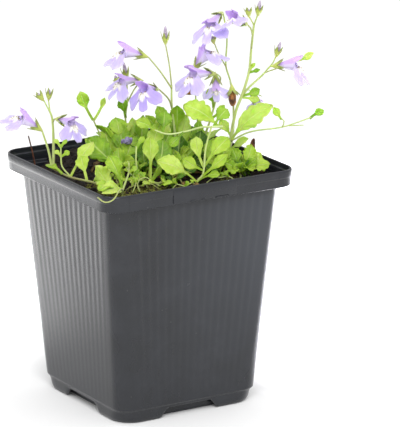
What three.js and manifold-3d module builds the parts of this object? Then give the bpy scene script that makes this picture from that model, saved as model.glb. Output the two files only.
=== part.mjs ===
// Potted creeping mazus: a square nursery pot of soil, its leafy shoots and its lilac flowers.
// Millimetres, +Z up. The origin is the middle of the pot's underside, on the surface it stands on.
// The pot's sides lie along X and Y. The plant has its own frame, turned about Z by PLANT_TURN.
import * as THREE from "three";
import { mergeVertices } from "three/addons/utils/BufferGeometryUtils.js";
import Module from "manifold-3d";

const wasm = await Module();
wasm.setup();

// Pot
const RIM_WIDTH = 90;
const POT_HEIGHT = 101;
const BAND_HEIGHT = 7;
const BAND_FLARE = 0.3;
const BODY_WIDTH = 80.6;
const FOOT_TOP_WIDTH = 66.8;
const BASE_WIDTH = 65.2;
const FOOT_HEIGHT = 5.6;
const WALL = 1;
const RIM_CORNER = 7.3;
const BASE_CORNER = 8.8;
const CORNER_STEPS = 4;
const FLOOR_HEIGHT = 4.2;
const PAN_WIDTH = 54;
const NOTCH_WIDTH = 24;
const NOTCH_HEIGHT = 4;
const DRAIN_RADIUS = 3.5;
const DRAIN_OFFSET = 19;
const RIBS_PER_SIDE = 15;
const RIB_WIDTH = 1.7;
const RIB_HEIGHT = 0.4;
const RIB_MARGIN = 4.4;
const PLATE_WIDTH = 30;
const PLATE_HEIGHT = 5.6;
const PLATE_DEPTH = 0.6;

// Soil
const SOIL_TOP = 96.2;
const SOIL_CELLS = 12;
const GAP = 0.3;
const ROOT_BOTTOM = 88;

// Plant
const PLANT_TURN = THREE.MathUtils.degToRad(-31.4);
const THICK_STEM = 1;
const THIN_STEM = 0.6;
const STEM_STEP = 10;
const BROAD_LEAF = 6;
const LEAF_THICKNESS = 0.65;
const PETAL_THICKNESS = 0.6;
const LEAF_FOLD = 0.22;
const TUBE_LENGTH = 10.3;
const CUP_LENGTH = 2.6;
const CUP_RADIUS = 1.2;
const CUP_WALL = 0.6;
const LIP_REACH = 10;
const LIP_FAN = THREE.MathUtils.degToRad(94);
const LIP_ROOT = 1.2;
const RIDGE_HEIGHT = 0.9;
const RIDGE_OFFSET = 1.3;
const UPPER_LIP_REACH = 6.2;

const UP = new THREE.Vector3(0, 0, 1);
const vec = (p) => (p.isVector3 ? p.clone() : new THREE.Vector3(...p));

// Seeded numbers from 0 to 1, so that every run gives the same plant.
function seeded(seed) {
  let state = seed;
  return () => {
    state = (state * 16807) % 2147483647;
    return state / 2147483647;
  };
}

function toSolid(geometry) {
  const bare = geometry.clone();
  bare.deleteAttribute("normal");
  bare.deleteAttribute("uv");
  const merged = mergeVertices(bare, 1e-4);
  const triVerts = new Uint32Array(merged.index.array);
  const vertProperties = merged.attributes.position.array;
  const made = new wasm.Manifold(new wasm.Mesh({ numProp: 3, vertProperties, triVerts }));
  if (made.volume() > 0) return made;
  for (let i = 0; i < triVerts.length; i += 3) {
    [triVerts[i + 1], triVerts[i + 2]] = [triVerts[i + 2], triVerts[i + 1]];
  }
  return new wasm.Manifold(new wasm.Mesh({ numProp: 3, vertProperties, triVerts }));
}

function toGeometry(solid) {
  const mesh = solid.getMesh();
  const geometry = new THREE.BufferGeometry();
  geometry.setAttribute("position", new THREE.BufferAttribute(mesh.vertProperties, 3));
  geometry.setIndex(new THREE.BufferAttribute(mesh.triVerts, 1));
  geometry.computeVertexNormals();
  return geometry;
}

const fuse = (solids) => solids.reduce((sum, next) => sum.add(next));

// The largest body of a solid, without the loose scraps that a cut leaves.
function largest(solid) {
  return solid.decompose().reduce((best, body) => (body.volume() > best.volume() ? body : best));
}

// A closed skin over rings of points, with a flat end on the first and the last ring.
function skin(rings) {
  const count = rings[0].length;
  const positions = rings.flat().flatMap((p) => p.toArray());
  const index = [];
  for (let i = 0; i + 1 < rings.length; i++) {
    for (let k = 0; k < count; k++) {
      const a = i * count + k;
      const b = i * count + ((k + 1) % count);
      index.push(a, b, b + count, a, b + count, a + count);
    }
  }
  const last = (rings.length - 1) * count;
  for (let k = 1; k + 1 < count; k++) {
    index.push(0, k + 1, k, last, last + k, last + k + 1);
  }
  const geometry = new THREE.BufferGeometry();
  geometry.setAttribute("position", new THREE.Float32BufferAttribute(positions, 3));
  geometry.setIndex(index);
  return toSolid(geometry);
}

// A thin blade over a grid of points, split into triangles alike on both faces.
function blade(grid, thickness) {
  const rows = grid.length;
  const columns = grid[0].length;
  const at = (i, j) => grid[Math.min(Math.max(i, 0), rows - 1)][Math.min(Math.max(j, 0), columns - 1)];
  const faces = [[], []];
  grid.forEach((row, i) =>
    row.forEach((point, j) => {
      const along = at(i + 1, j).clone().sub(at(i - 1, j));
      const across = at(i, j + 1).clone().sub(at(i, j - 1));
      const normal = along.cross(across).normalize();
      faces[0].push(point.clone().addScaledVector(normal, thickness / 2));
      faces[1].push(point.clone().addScaledVector(normal, -thickness / 2));
    }),
  );
  const under = rows * columns;
  const index = [];
  for (let i = 0; i + 1 < rows; i++) {
    for (let j = 0; j + 1 < columns; j++) {
      const a = i * columns + j;
      const [b, c, d] = [a + 1, a + columns, a + columns + 1];
      index.push(a, c, d, a, d, b);
      index.push(under + a, under + d, under + c, under + a, under + b, under + d);
    }
  }
  const edge = [];
  for (let j = 0; j < columns; j++) edge.push(j);
  for (let i = 1; i < rows; i++) edge.push(i * columns + columns - 1);
  for (let j = columns - 2; j >= 0; j--) edge.push((rows - 1) * columns + j);
  for (let i = rows - 2; i > 0; i--) edge.push(i * columns);
  edge.forEach((a, k) => {
    const b = edge[(k + 1) % edge.length];
    index.push(a, b, under + b, a, under + b, under + a);
  });
  const geometry = new THREE.BufferGeometry();
  const positions = faces.flat().flatMap((p) => p.toArray());
  geometry.setAttribute("position", new THREE.Float32BufferAttribute(positions, 3));
  geometry.setIndex(index);
  return toSolid(geometry);
}

// Pot: rounded squares joined from the outer base, over the rim, down to the inner floor.
function squareRing(width, corner, z) {
  const ring = [];
  for (let side = 0; side < 4; side++) {
    for (let k = 0; k <= CORNER_STEPS; k++) {
      const angle = ((side + k / CORNER_STEPS) * Math.PI) / 2;
      const cx = (width / 2 - corner) * (side === 0 || side === 3 ? 1 : -1);
      const cy = (width / 2 - corner) * (side < 2 ? 1 : -1);
      ring.push(new THREE.Vector3(cx + corner * Math.cos(angle), cy + corner * Math.sin(angle), z));
    }
  }
  return ring;
}

function box(x0, x1, y0, y1, z0, z1) {
  const geometry = new THREE.BoxGeometry(x1 - x0, y1 - y0, z1 - z0);
  geometry.translate((x0 + x1) / 2, (y0 + y1) / 2, (z0 + z1) / 2);
  return toSolid(geometry);
}

// Turned about Z to each of the pot's four sides, starting from the side that faces -Y.
const onSides = (make) => [0, 90, 180, 270].map((turn) => make(turn).rotate([0, 0, turn]));

const BAND_FOOT = POT_HEIGHT - BAND_HEIGHT;
const bodyWidthAt = (z) =>
  FOOT_TOP_WIDTH + ((BODY_WIDTH - FOOT_TOP_WIDTH) * (z - FOOT_HEIGHT)) / (BAND_FOOT - FOOT_HEIGHT);

function potWalls() {
  const thin = 2 * WALL;
  return skin([
    squareRing(BASE_WIDTH, BASE_CORNER, 0),
    squareRing(BASE_WIDTH + 0.6, BASE_CORNER, FOOT_HEIGHT - 0.4),
    squareRing(FOOT_TOP_WIDTH, BASE_CORNER, FOOT_HEIGHT),
    squareRing(BODY_WIDTH, BASE_CORNER, BAND_FOOT),
    squareRing(RIM_WIDTH - BAND_FLARE * 2, RIM_CORNER, BAND_FOOT),
    squareRing(RIM_WIDTH, RIM_CORNER, POT_HEIGHT - 0.6),
    squareRing(RIM_WIDTH - 0.5, RIM_CORNER, POT_HEIGHT),
    squareRing(RIM_WIDTH - thin, RIM_CORNER - WALL, POT_HEIGHT),
    squareRing(RIM_WIDTH - thin - BAND_FLARE * 2, RIM_CORNER - WALL, BAND_FOOT + WALL),
    squareRing(BODY_WIDTH - thin, BASE_CORNER - WALL, BAND_FOOT + WALL),
    squareRing(bodyWidthAt(FLOOR_HEIGHT + WALL) - thin, BASE_CORNER - WALL, FLOOR_HEIGHT + WALL),
  ]);
}

// The space under the floor: a channel between the skirt and the flat middle that stands on the surface.
function underside() {
  const channel = skin([
    squareRing(BASE_WIDTH - 2.2 * WALL, BASE_CORNER - WALL, -1),
    squareRing(BASE_WIDTH - 2.2 * WALL, BASE_CORNER - WALL, FLOOR_HEIGHT),
  ]);
  const pan = skin([
    squareRing(PAN_WIDTH, BASE_CORNER - WALL, -2),
    squareRing(PAN_WIDTH, BASE_CORNER - WALL, FLOOR_HEIGHT + 1),
  ]);
  return channel.subtract(pan);
}

function panInside() {
  return skin([
    squareRing(PAN_WIDTH - 2 * WALL, BASE_CORNER - 2 * WALL, WALL),
    squareRing(PAN_WIDTH - 2 * WALL, BASE_CORNER - 2 * WALL, FLOOR_HEIGHT + 2 * WALL),
  ]);
}

function drainHole(x, y) {
  const geometry = new THREE.CylinderGeometry(DRAIN_RADIUS, DRAIN_RADIUS, 4 * WALL, 10);
  geometry.rotateX(Math.PI / 2);
  geometry.translate(x, y, 0);
  return toSolid(geometry);
}

// Three-sided ribs that fan out a little towards the rim, on the side that faces -Y.
function ribsOnSide() {
  const low = FOOT_HEIGHT + 2;
  const high = BAND_FOOT - 2;
  const ribs = [];
  for (let k = 0; k < RIBS_PER_SIDE; k++) {
    const share = (k - (RIBS_PER_SIDE - 1) / 2) / ((RIBS_PER_SIDE - 1) / 2);
    const ring = (z) => {
      const wall = -bodyWidthAt(z) / 2;
      const x = share * (-wall - BASE_CORNER - RIB_MARGIN);
      return [
        new THREE.Vector3(x - RIB_WIDTH / 2, wall + WALL / 3, z),
        new THREE.Vector3(x, wall - RIB_HEIGHT, z),
        new THREE.Vector3(x + RIB_WIDTH / 2, wall + WALL / 3, z),
      ];
    };
    ribs.push(skin([ring(low), ring(high)]));
  }
  return fuse(ribs);
}

function makePot() {
  const half = BASE_WIDTH / 2;
  const halfNotch = NOTCH_WIDTH / 2;
  const notch = box(-halfNotch, halfNotch, -half - 3, -half + 2.2, -1, NOTCH_HEIGHT);
  const plateFoot = BAND_FOOT + (BAND_HEIGHT - PLATE_HEIGHT) / 2;
  const face = -RIM_WIDTH / 2;
  const plateHalf = PLATE_WIDTH / 2;
  const plateTop = plateFoot + PLATE_HEIGHT;
  const plate = box(-plateHalf, plateHalf, face - PLATE_DEPTH, face + 0.8, plateFoot, plateTop);
  const drains = [-1, 1].flatMap((i) => [-1, 1].map((j) => drainHole(i * DRAIN_OFFSET, j * DRAIN_OFFSET)));
  const cuts = [underside(), panInside(), ...drains, ...onSides(() => notch)];
  return fuse([potWalls(), ...onSides(ribsOnSide), plate]).subtract(fuse(cuts));
}

// Soil: a lumpy top that sinks towards the left and right corners and is heaped against the back wall.
function soilHeight(x, y) {
  const lumps =
    0.3 * Math.sin(0.52 * x + 1.1) * Math.cos(0.47 * y) + 0.2 * Math.sin(0.83 * y - 0.4 * x + 0.6);
  const near = (cx, cy, reach) => Math.exp(-((x - cx) ** 2 + (y - cy) ** 2) / reach ** 2);
  return SOIL_TOP + lumps - 6.4 * near(-42, 42, 17) - 3 * near(42, -40, 13) + 2 * near(-16, 40, 13);
}

function soilBlock() {
  const half = RIM_WIDTH / 2;
  const geometry = new THREE.BoxGeometry(2 * half, 2 * half, 1, SOIL_CELLS, SOIL_CELLS, 1);
  const position = geometry.attributes.position;
  for (let i = 0; i < position.count; i++) {
    const [x, y, z] = [position.getX(i), position.getY(i), position.getZ(i)];
    position.setZ(i, z > 0 ? soilHeight(x, y) : 0);
  }
  return toSolid(geometry);
}

// The room inside the pot, GAP clear of its walls, its shelf and its floor.
function potRoom() {
  const clear = 2 * (WALL + GAP);
  const floor = FLOOR_HEIGHT + WALL + GAP;
  const shelf = BAND_FOOT + WALL + GAP;
  return skin([
    squareRing(PAN_WIDTH - clear, BASE_CORNER - 2 * WALL, WALL + GAP),
    squareRing(PAN_WIDTH - clear, BASE_CORNER - 2 * WALL, floor),
    squareRing(bodyWidthAt(floor) - clear, BASE_CORNER - WALL, floor),
    squareRing(bodyWidthAt(shelf) - clear - 0.2, BASE_CORNER - WALL, shelf),
    squareRing(RIM_WIDTH - clear - 2 * BAND_FLARE, RIM_CORNER - WALL, shelf),
    squareRing(RIM_WIDTH - clear - BAND_FLARE, RIM_CORNER - WALL, POT_HEIGHT - 0.5),
  ]);
}

// Plant: stems, leaves, calyces, buds and corollas, in the plant's frame.
function stem(radius, ...points) {
  const curve = new THREE.CatmullRomCurve3(points.map(vec), false, "centripetal");
  const sides = radius < THIN_STEM ? 3 : radius < THICK_STEM ? 4 : 5;
  const steps = Math.max(points.length - 1, Math.round(curve.getLength() / STEM_STEP));
  const frames = curve.computeFrenetFrames(steps, false);
  const rings = [];
  for (let i = 0; i <= steps; i++) {
    const centre = curve.getPointAt(i / steps);
    const r = radius * (1 - (0.25 * i) / steps);
    const ring = [];
    for (let k = 0; k < sides; k++) {
      const angle = (2 * Math.PI * k) / sides;
      const spoke = frames.normals[i].clone().multiplyScalar(r * Math.cos(angle));
      ring.push(spoke.addScaledVector(frames.binormals[i], r * Math.sin(angle)).add(centre));
    }
    rings.push(ring);
  }
  return skin(rings);
}

// A leaf from its root on the stem to its tip. It faces as near to face as its length allows, and bow
// is how far its middle rises. Its outline is a narrow stalk, then a toothed blade, broadest beyond
// its middle and round at the tip.
function leaf(root, tip, width, face, bow = 1.5, stalk = 0.28) {
  const start = vec(root);
  const length = vec(tip).sub(start);
  const along = length.clone().normalize();
  const normal = vec(face).addScaledVector(along, -vec(face).dot(along)).normalize();
  const side = along.clone().cross(normal);
  const size = length.length();
  const teeth = width > 7 ? 5 : width > 4 ? 4 : 2;
  const stations = [0, stalk];
  for (let k = 1; k <= teeth; k++) stations.push(stalk + ((1 - stalk) * k) / teeth);
  const grid = stations.map((t, i) => {
    const q = Math.max(0, (t - stalk) / (1 - stalk));
    const tooth = i > 1 && i < stations.length - 1 ? 1 + (i % 2 ? -0.1 : 0.1) : 1;
    const blunt = Math.sin(Math.PI * q ** 1.3) ** 0.75;
    const half = Math.max(i === stations.length - 1 ? 0.25 : 0.45, (width / 2) * blunt * tooth);
    const middle = start
      .clone()
      .addScaledVector(along, size * t)
      .addScaledVector(normal, bow * 4 * t * (1 - t));
    const rise = LEAF_FOLD * half * (half > 0.5 ? 1 : 0);
    const ripple = 0.05 * width * Math.sin(3 * Math.PI * q);
    const edge = (sign) =>
      middle
        .clone()
        .addScaledVector(side, sign * half)
        .addScaledVector(normal, rise + sign * ripple);
    return width > BROAD_LEAF ? [edge(-1), middle, edge(1)] : [edge(-1), edge(1)];
  });
  return blade(grid, LEAF_THICKNESS);
}

// Axes of a bud or a flower: z along it, y towards its back, x to its side.
function axesOf(direction, back) {
  const z = vec(direction).normalize();
  const y = vec(back).addScaledVector(z, -vec(back).dot(z)).normalize();
  return { x: y.clone().cross(z), y, z };
}

function place(base, axes, x, y, z) {
  return vec(base).addScaledVector(axes.x, x).addScaledVector(axes.y, y).addScaledVector(axes.z, z);
}

function roundRing(base, axes, rx, ry, z, sides) {
  const ring = [];
  for (let k = 0; k < sides; k++) {
    const angle = (2 * Math.PI * k) / sides;
    ring.push(place(base, axes, rx * Math.cos(angle), ry * Math.sin(angle), z));
  }
  return ring;
}

// A calyx: a cup whose rim rises into five pointed lobes that lean outwards. Its inside is open.
function calyx(base, direction, back, spread = 2.9, reach = 5.6) {
  const axes = axesOf(direction, back);
  const star = (tipRadius, tipHeight, notchRadius, notchHeight) => {
    const ring = [];
    for (let k = 0; k < 10; k++) {
      const angle = Math.PI / 2 + (k * Math.PI) / 5;
      const [radius, z] = k % 2 ? [tipRadius, tipHeight] : [notchRadius, notchHeight];
      ring.push(place(base, axes, radius * Math.cos(angle), radius * Math.sin(angle), z));
    }
    return ring;
  };
  return skin([
    star(0.6, -0.4, 0.6, -0.4),
    star(spread, reach, CUP_RADIUS + CUP_WALL, CUP_LENGTH),
    star(spread - CUP_WALL, reach - 0.1, CUP_RADIUS, CUP_LENGTH),
    star(CUP_RADIUS - 0.3, 1.4, CUP_RADIUS - 0.3, 1.4),
  ]);
}

// A closed bud: a calyx with upright lobes, and the folded petals between them.
function bud(base, direction, size = 1) {
  const axes = axesOf(direction, [0.3, -1, 0.2]);
  const petals = skin([
    roundRing(base, axes, 0.5, 0.5, 0.2, 5),
    roundRing(base, axes, 1, 1, 4.2 * size, 5),
    roundRing(base, axes, 0.35, 0.35, 8 * size, 5),
  ]);
  return fuse([calyx(base, direction, [0.3, -1, 0.2], 1.6 + 0.5 * size, 5.4 * size), petals]);
}

// A flower's places: its calyx stands at base and its tube runs along direction. back is the side of
// the upper lip, and droop the angle by which the lower lip bends away from the tube.
const flower = (base, direction, back, droop = 66, size = 1) => ({ base, direction, back, droop, size });

// The lower lip's three lobes, from notch to notch: u runs from -1 to 1 across the lip.
const LOBE_NOTCH = 0.28;
const LOBE_STATIONS = [-1, -0.84, -0.58, -0.28, -0.13, 0.13, 0.28, 0.58, 0.84, 1];

function lobeShape(u) {
  const out = Math.abs(u);
  if (out < LOBE_NOTCH) return 0.9 * Math.sqrt(Math.cos((Math.PI * out) / (2 * LOBE_NOTCH)));
  return Math.sqrt(Math.max(0, Math.sin((Math.PI * (out - LOBE_NOTCH)) / (1 - LOBE_NOTCH))));
}

function lowerLip({ base, direction, back, droop, size }) {
  const axes = axesOf(direction, back);
  const bend = THREE.MathUtils.degToRad(droop);
  const forward = axes.z.clone().multiplyScalar(Math.cos(bend)).addScaledVector(axes.y, -Math.sin(bend));
  const normal = axes.y.clone().multiplyScalar(Math.cos(bend)).addScaledVector(axes.z, Math.sin(bend));
  const throat = place(base, axes, 0, -0.6 * size, (TUBE_LENGTH - 1) * size);
  const grid = [];
  for (let i = 0; i <= 2; i++) {
    const v = i / 2;
    const row = [];
    for (const u of LOBE_STATIONS) {
      const reach = LIP_REACH * (0.55 + 0.45 * lobeShape(u));
      const radius = size * (LIP_ROOT + (reach - LIP_ROOT) * v);
      const across = radius * Math.sin(u * LIP_FAN);
      const forwards = radius * Math.cos(u * LIP_FAN);
      const fromRidge = Math.abs(across) / size - RIDGE_OFFSET;
      const swell = Math.sin(Math.PI * Math.min(1, 1.5 * v));
      const ridge = RIDGE_HEIGHT * size * Math.exp(-(fromRidge ** 2)) * swell;
      const sink = (0.02 * across ** 2 + 0.008 * forwards ** 2) / size;
      row.push(
        throat
          .clone()
          .addScaledVector(axes.x, across)
          .addScaledVector(forward, forwards)
          .addScaledVector(normal, ridge - sink),
      );
    }
    grid.push(row);
  }
  return blade(grid, PETAL_THICKNESS);
}

function upperLip({ base, direction, back, size }) {
  const axes = axesOf(direction, back);
  const grid = [];
  for (const v of [0, 1]) {
    const row = [];
    for (let j = 0; j <= 4; j++) {
      const u = (j - 2) / 2;
      const reach = UPPER_LIP_REACH * size * (j % 2 ? 1 : 0.62);
      const across = u * size * (2.2 - 0.7 * v);
      const z = (TUBE_LENGTH - 3) * size + reach * v;
      row.push(place(base, axes, across, (1.3 + 1.1 * v) * size - 0.18 * across ** 2, z));
    }
    grid.push(row);
  }
  return blade(grid, PETAL_THICKNESS);
}

// The corolla's tube, from inside the calyx to the mouth.
function corollaTube({ base, direction, back, size }) {
  const axes = axesOf(direction, back);
  return skin([
    roundRing(base, axes, 0.55, 0.55, 1.7, 6),
    roundRing(base, axes, 1.1 * size, size, 5 * size, 6),
    roundRing(base, axes, 2.4 * size, 1.8 * size, (TUBE_LENGTH - 0.6) * size, 6),
  ]);
}

const corolla = (place) => fuse([corollaTube(place), lowerLip(place), upperLip(place)]);

// A withered corolla: a crumpled spindle.
function withered(base, direction, length, seed) {
  const random = seeded(seed);
  const axes = axesOf(direction, [0.4, -0.8, 0.3]);
  const widths = [0.6, 0.8, 1.2, 1.7, 1.2, 0.5];
  const rings = widths.map((width, i) => {
    const centre = place(base, axes, random() - 0.5, random() - 0.5, (length * i) / 5);
    return roundRing(centre, axes, width * (0.7 + 0.5 * random()), width * (0.7 + 0.5 * random()), 0, 6);
  });
  return skin(rings);
}

// A root: the part of a stem that stands upright in its hole in the soil.
const root = (x, y, top = 98.5, radius = 0.9) => stem(radius, [x, y, ROOT_BOTTOM], [x, y, top]);

// Where the shoots are rooted, and how wide each hole is.
const HOLES = [
  { x: -17.5, y: -34, radius: 0.9 },
  { x: -10, y: -38, radius: 0.9 },
  { x: -11.5, y: -6, radius: 0.9 },
  { x: -18, y: 20, radius: 0.7 },
  { x: -8, y: 22, radius: 0.7 },
  { x: 11, y: 6, radius: 0.9 },
  { x: 1, y: -22, radius: 0.9 },
  { x: 20, y: -22, radius: 0.9 },
  { x: 33.5, y: 4, radius: 1 },
  { x: 33, y: 13, radius: 0.7 },
  { x: 21, y: 12, radius: 0.7 },
  { x: 38, y: -8, radius: 0.9 },
  { x: -14, y: 30, radius: 0.9 },
  { x: 6, y: 35, radius: 0.9 },
  { x: 22, y: 24, radius: 0.9 },
];

// The open flowers.
const FLOWERS = {
  corolla_left: flower([-43.5, -9, 115.5], [-0.78, -0.1, 0.62], [0.2, -0.1, 1], 56),
  corolla_left_rim: flower([-38.5, -4.5, 119.5], [0.62, -0.78, -0.1], [0.1, -0.1, 1], 58),
  corolla_left_top: flower([0, 8, 142.5], [-0.94, -0.1, 0.32], [0.3, 0, 0.95], 66, 1.08),
  corolla_middle_back: flower([-2.5, 21, 129.5], [-0.86, -0.45, 0.05], [0, -0.1, 1], 60),
  corolla_middle: flower([4.5, -1, 131], [-0.72, -0.66, 0.2], [0, 0.25, 1], 76, 1.05),
  corolla_centre: flower([28, 8, 135.5], [-0.78, -0.6, 0.15], [0.2, 0.2, 1], 62, 1.05),
  corolla_centre_right: flower([27.5, 13, 135], [0.1, -0.75, -0.6], [0, -0.6, 0.8], 40),
  corolla_upright: flower([18.5, 10, 136.5], [0.48, -0.05, 0.86], [-0.86, 0.1, 0.48], 88),
  corolla_top_left: flower([30.5, 17.5, 159.6], [-0.46, -0.82, -0.3], [-0.3, 0, 1], 22, 1.05),
  corolla_top: flower([41, 8, 156], [-0.62, -0.62, 0.48], [0, 0.6, 0.8], 44),
  corolla_right: flower([50.5, 8.5, 138.5], [0.97, -0.1, 0.16], [0, 0, 1], 66, 1.05),
  corolla_right_low: flower([42, 14, 127], [0.5, 0.25, -0.8], [0.5, 0.7, 0.5], 40),
};

// The green shoots. FACE directions: towards the front, up, and between the two.
const FRONT = [0, -1, 0.3];
const SLANT = [0, -0.8, 0.6];
const SKY = [0, -0.2, 1];

const calyxOf = (name) => calyx(FLOWERS[name].base, FLOWERS[name].direction, FLOWERS[name].back);

function runnerLeft() {
  return [
    root(-17.5, -34, 98),
    stem(
      1,
      [-17.5, -34, 97],
      [-20, -33.5, 99.5],
      [-24, -31, 100],
      [-31.5, -23, 99.6],
      [-37, -15, 100],
      [-39.8, -10.5, 100.2],
    ),
    stem(0.8, [-39.5, -11, 100], [-41, -9.5, 107.5], [-43.5, -9, 115.5]),
    stem(0.95, [-39, -11.5, 100], [-39, -6, 108.5], [-39.5, -4, 119.5], [-40.5, -4, 122.5]),
    stem(0.55, [-40.4, -4, 122], [-43, -4, 127.5]),
    stem(0.55, [-40.4, -4, 122], [-41, -3, 127]),
    stem(0.6, [-31.5, -22, 99.6], [-35, -19, 103], [-35.5, -18, 107.5], [-35.5, -18, 111.5]),
    leaf([-35.5, -18, 111], [-38, -18, 114.4], 1.8, FRONT, 0.3),
    leaf([-35.5, -18, 111], [-33, -18, 114], 1.8, FRONT, 0.3),
    leaf([-35.4, -18, 107], [-38, -18.5, 109.6], 2, FRONT, 0.3),
    leaf([-35.4, -18, 107], [-32, -18, 109.2], 2.2, FRONT, 0.3),
    leaf([-35, -19, 100], [-42, -8.5, 101.2], 3.6, [-0.3, -0.3, 1], 0.6),
    leaf([-31.5, -23, 99.8], [-22.5, -14, 111.5], 4.6, [-0.6, -0.7, 0.5], 2),
    leaf([-24.6, -30, 100.2], [-27.5, -21, 108], 6, FRONT, 1),
    bud([-43, -4, 127], [-0.6, 0, 0.8], 0.75),
    bud([-41, -3, 126.6], [0.1, 0, 1], 0.8),
    calyxOf("corolla_left"),
    calyxOf("corolla_left_rim"),
    stem(0.6, [-39.4, -4, 117.5], [-38.5, -4.5, 119.5]),
  ];
}

function cornerShoot() {
  return [
    root(-10, -38),
    leaf([-10, -38, 98], [-17.5, -36, 110.5], 8.6, FRONT, 1),
    leaf([-10, -38.4, 97.8], [-18.8, -57, 103.6], 6.6, SKY, 2.2),
    stem(
      0.65,
      [-10, -39, 98],
      [-10, -49, 101.6],
      [-11.2, -57, 102.8],
      [-13.2, -61.2, 100.6],
      [-16.4, -62, 99.8],
      [-19.4, -60.4, 101.4],
    ),
    stem(0.75, [-10, -38, 98], [-8.8, -36, 101], [-7.5, -34, 104.5], [-7.5, -34, 108.6]),
    leaf([-8.4, -35.4, 101.6], [-12.4, -35.5, 104], 2.2, FRONT, 0.3),
    leaf([-8.2, -35, 101.8], [-3.4, -34.5, 103.4], 2.4, FRONT, 0.3),
    leaf([-7.6, -34, 104.4], [-4.4, -33.6, 107], 2, FRONT, 0.3),
  ];
}

function leftCrown() {
  return [
    leaf([-11.4, -6, 98.2], [-24.8, 1, 109.4], 9.4, SLANT, 1.8),
    stem(0.8, [-11.5, -6, ROOT_BOTTOM], [-11.5, -6, 97.5], [-12, 0, 103], [-12.3, 6, 107.6]),
    leaf([-12.2, 5, 107], [-14.6, 10, 115.8], 6.6, FRONT, 0.8, 0.2),
    leaf([-12.1, 2, 104.6], [-22.2, 7, 113.8], 4.2, [0.3, 0.4, 1], 1),
    leaf([-11.2, -5.5, 98.4], [-6, 2.5, 110.2], 9, SLANT, 1.5),
    leaf([-12.3, 6, 107.4], [-8, 10, 114], 4.4, FRONT, 0.6),
    leaf([-11.5, -6, 97.8], [-21, -13, 103], 5, SKY, 1.4),
    leaf([-11.5, -6, 98], [-5.5, -14.5, 104.5], 5.2, SLANT, 1.2),
  ];
}

function leftSprig() {
  return [
    stem(
      0.7,
      [-18, 20, ROOT_BOTTOM],
      [-18, 20, 97.5],
      [-19.5, 20.3, 104],
      [-21.5, 20.3, 108.5],
      [-23.5, 20, 113],
    ),
    leaf([-23.4, 20, 112.6], [-28.6, 18, 125.4], 5.6, FRONT, 0.8, 0.42),
    leaf([-23.3, 20, 112.6], [-18.6, 21.5, 122], 2.2, FRONT, -0.6, 0.5),
    leaf([-18.4, 20, 99], [-27, 22, 104], 5, SLANT, 1.2),
    leaf([-18, 20, 99], [-25, 27, 103.5], 5, [0, 0.4, 1], 1.2),
  ];
}

function middleLeft() {
  return [
    stem(
      0.7,
      [-8, 22, ROOT_BOTTOM],
      [-8, 22, 98],
      [-8.8, 23.6, 105.5],
      [-10, 24, 112],
      [-9.2, 25, 120],
      [-9.5, 25, 129.4],
    ),
    leaf([-9.9, 24, 112.6], [-11.8, 22.4, 121.6], 4.4, FRONT, 0.6),
    stem(0.55, [-9.3, 25, 119], [-5.6, 24, 126], [-2.5, 21, 129.5]),
    stem(0.5, [-9.4, 25, 121.6], [-12.6, 27, 126.4]),
    bud([-9.5, 25, 129], [-0.15, 0, 1], 0.95),
    bud([-12.6, 27, 126], [-0.4, 0.5, 0.8], 0.6),
    calyxOf("corolla_middle_back"),
  ];
}

function centreShoot() {
  return [
    stem(0.85, [11, 6, ROOT_BOTTOM], [11, 6, 98], [11, 6, 108], [9.6, 6, 122.5], [9.5, 6.4, 131]),
    stem(0.6, [9.6, 6.2, 129.6], [5, 7, 136.5], [0, 8, 142.5]),
    stem(0.55, [9.5, 6.4, 130.6], [8.6, 8, 139], [7, 9, 148]),
    stem(0.65, [9.8, 6, 120.6], [8.4, 2.4, 126], [4.5, -1, 131]),
    bud([7, 9, 147.6], [0, 0, 1], 1),
    leaf([11, 6, 104.5], [11.8, 4.4, 122.8], 6.4, FRONT, -1.5, 0.45),
    leaf([10.6, 6.4, 110], [3.6, 11, 121], 5.2, SLANT, 1),
    leaf([10.9, 6, 102.5], [-1.2, 7, 118], 4.6, FRONT, -1.4, 0.5),
    leaf([11, 6, 98.2], [2.6, -2.5, 105], 5.8, SLANT, 1.4),
    leaf([11, 6, 98.4], [16.5, -3.5, 107], 5.6, SLANT, 1.2),
    leaf([11, 6, 98.6], [14.5, 13, 108], 5.2, FRONT, 1),
    calyxOf("corolla_left_top"),
    calyxOf("corolla_middle"),
  ];
}

function frontShoot() {
  return [
    root(1, -22, 98),
    leaf([1, -22, 97], [1, -18, 115.4], 6.4, FRONT, 0.4, 0.4),
    stem(0.65, [1, -22, 97.4], [-3, -26, 99.6], [-4.6, -27, 106.5], [-4.6, -24, 112.8]),
    leaf([-4.6, -24.2, 112], [-1.4, -22.4, 116.6], 2.6, FRONT, 0.4),
    leaf([1.2, -21.4, 97.6], [6, -9.5, 112], 8.2, SLANT, -1, 0.35),
    leaf([1.4, -22, 97.6], [5.4, -22.8, 104.4], 2.4, FRONT, 0.3),
    stem(0.6, [1, -22.6, 97], [3, -27, 98.2], [5, -31, 98]),
    leaf([4.8, -30.6, 98], [10, -35.5, 100.5], 3.6, SKY, 0.6),
    leaf([0.8, -22.6, 97.4], [-5, -33, 101], 4, SKY, 1),
  ];
}

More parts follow.
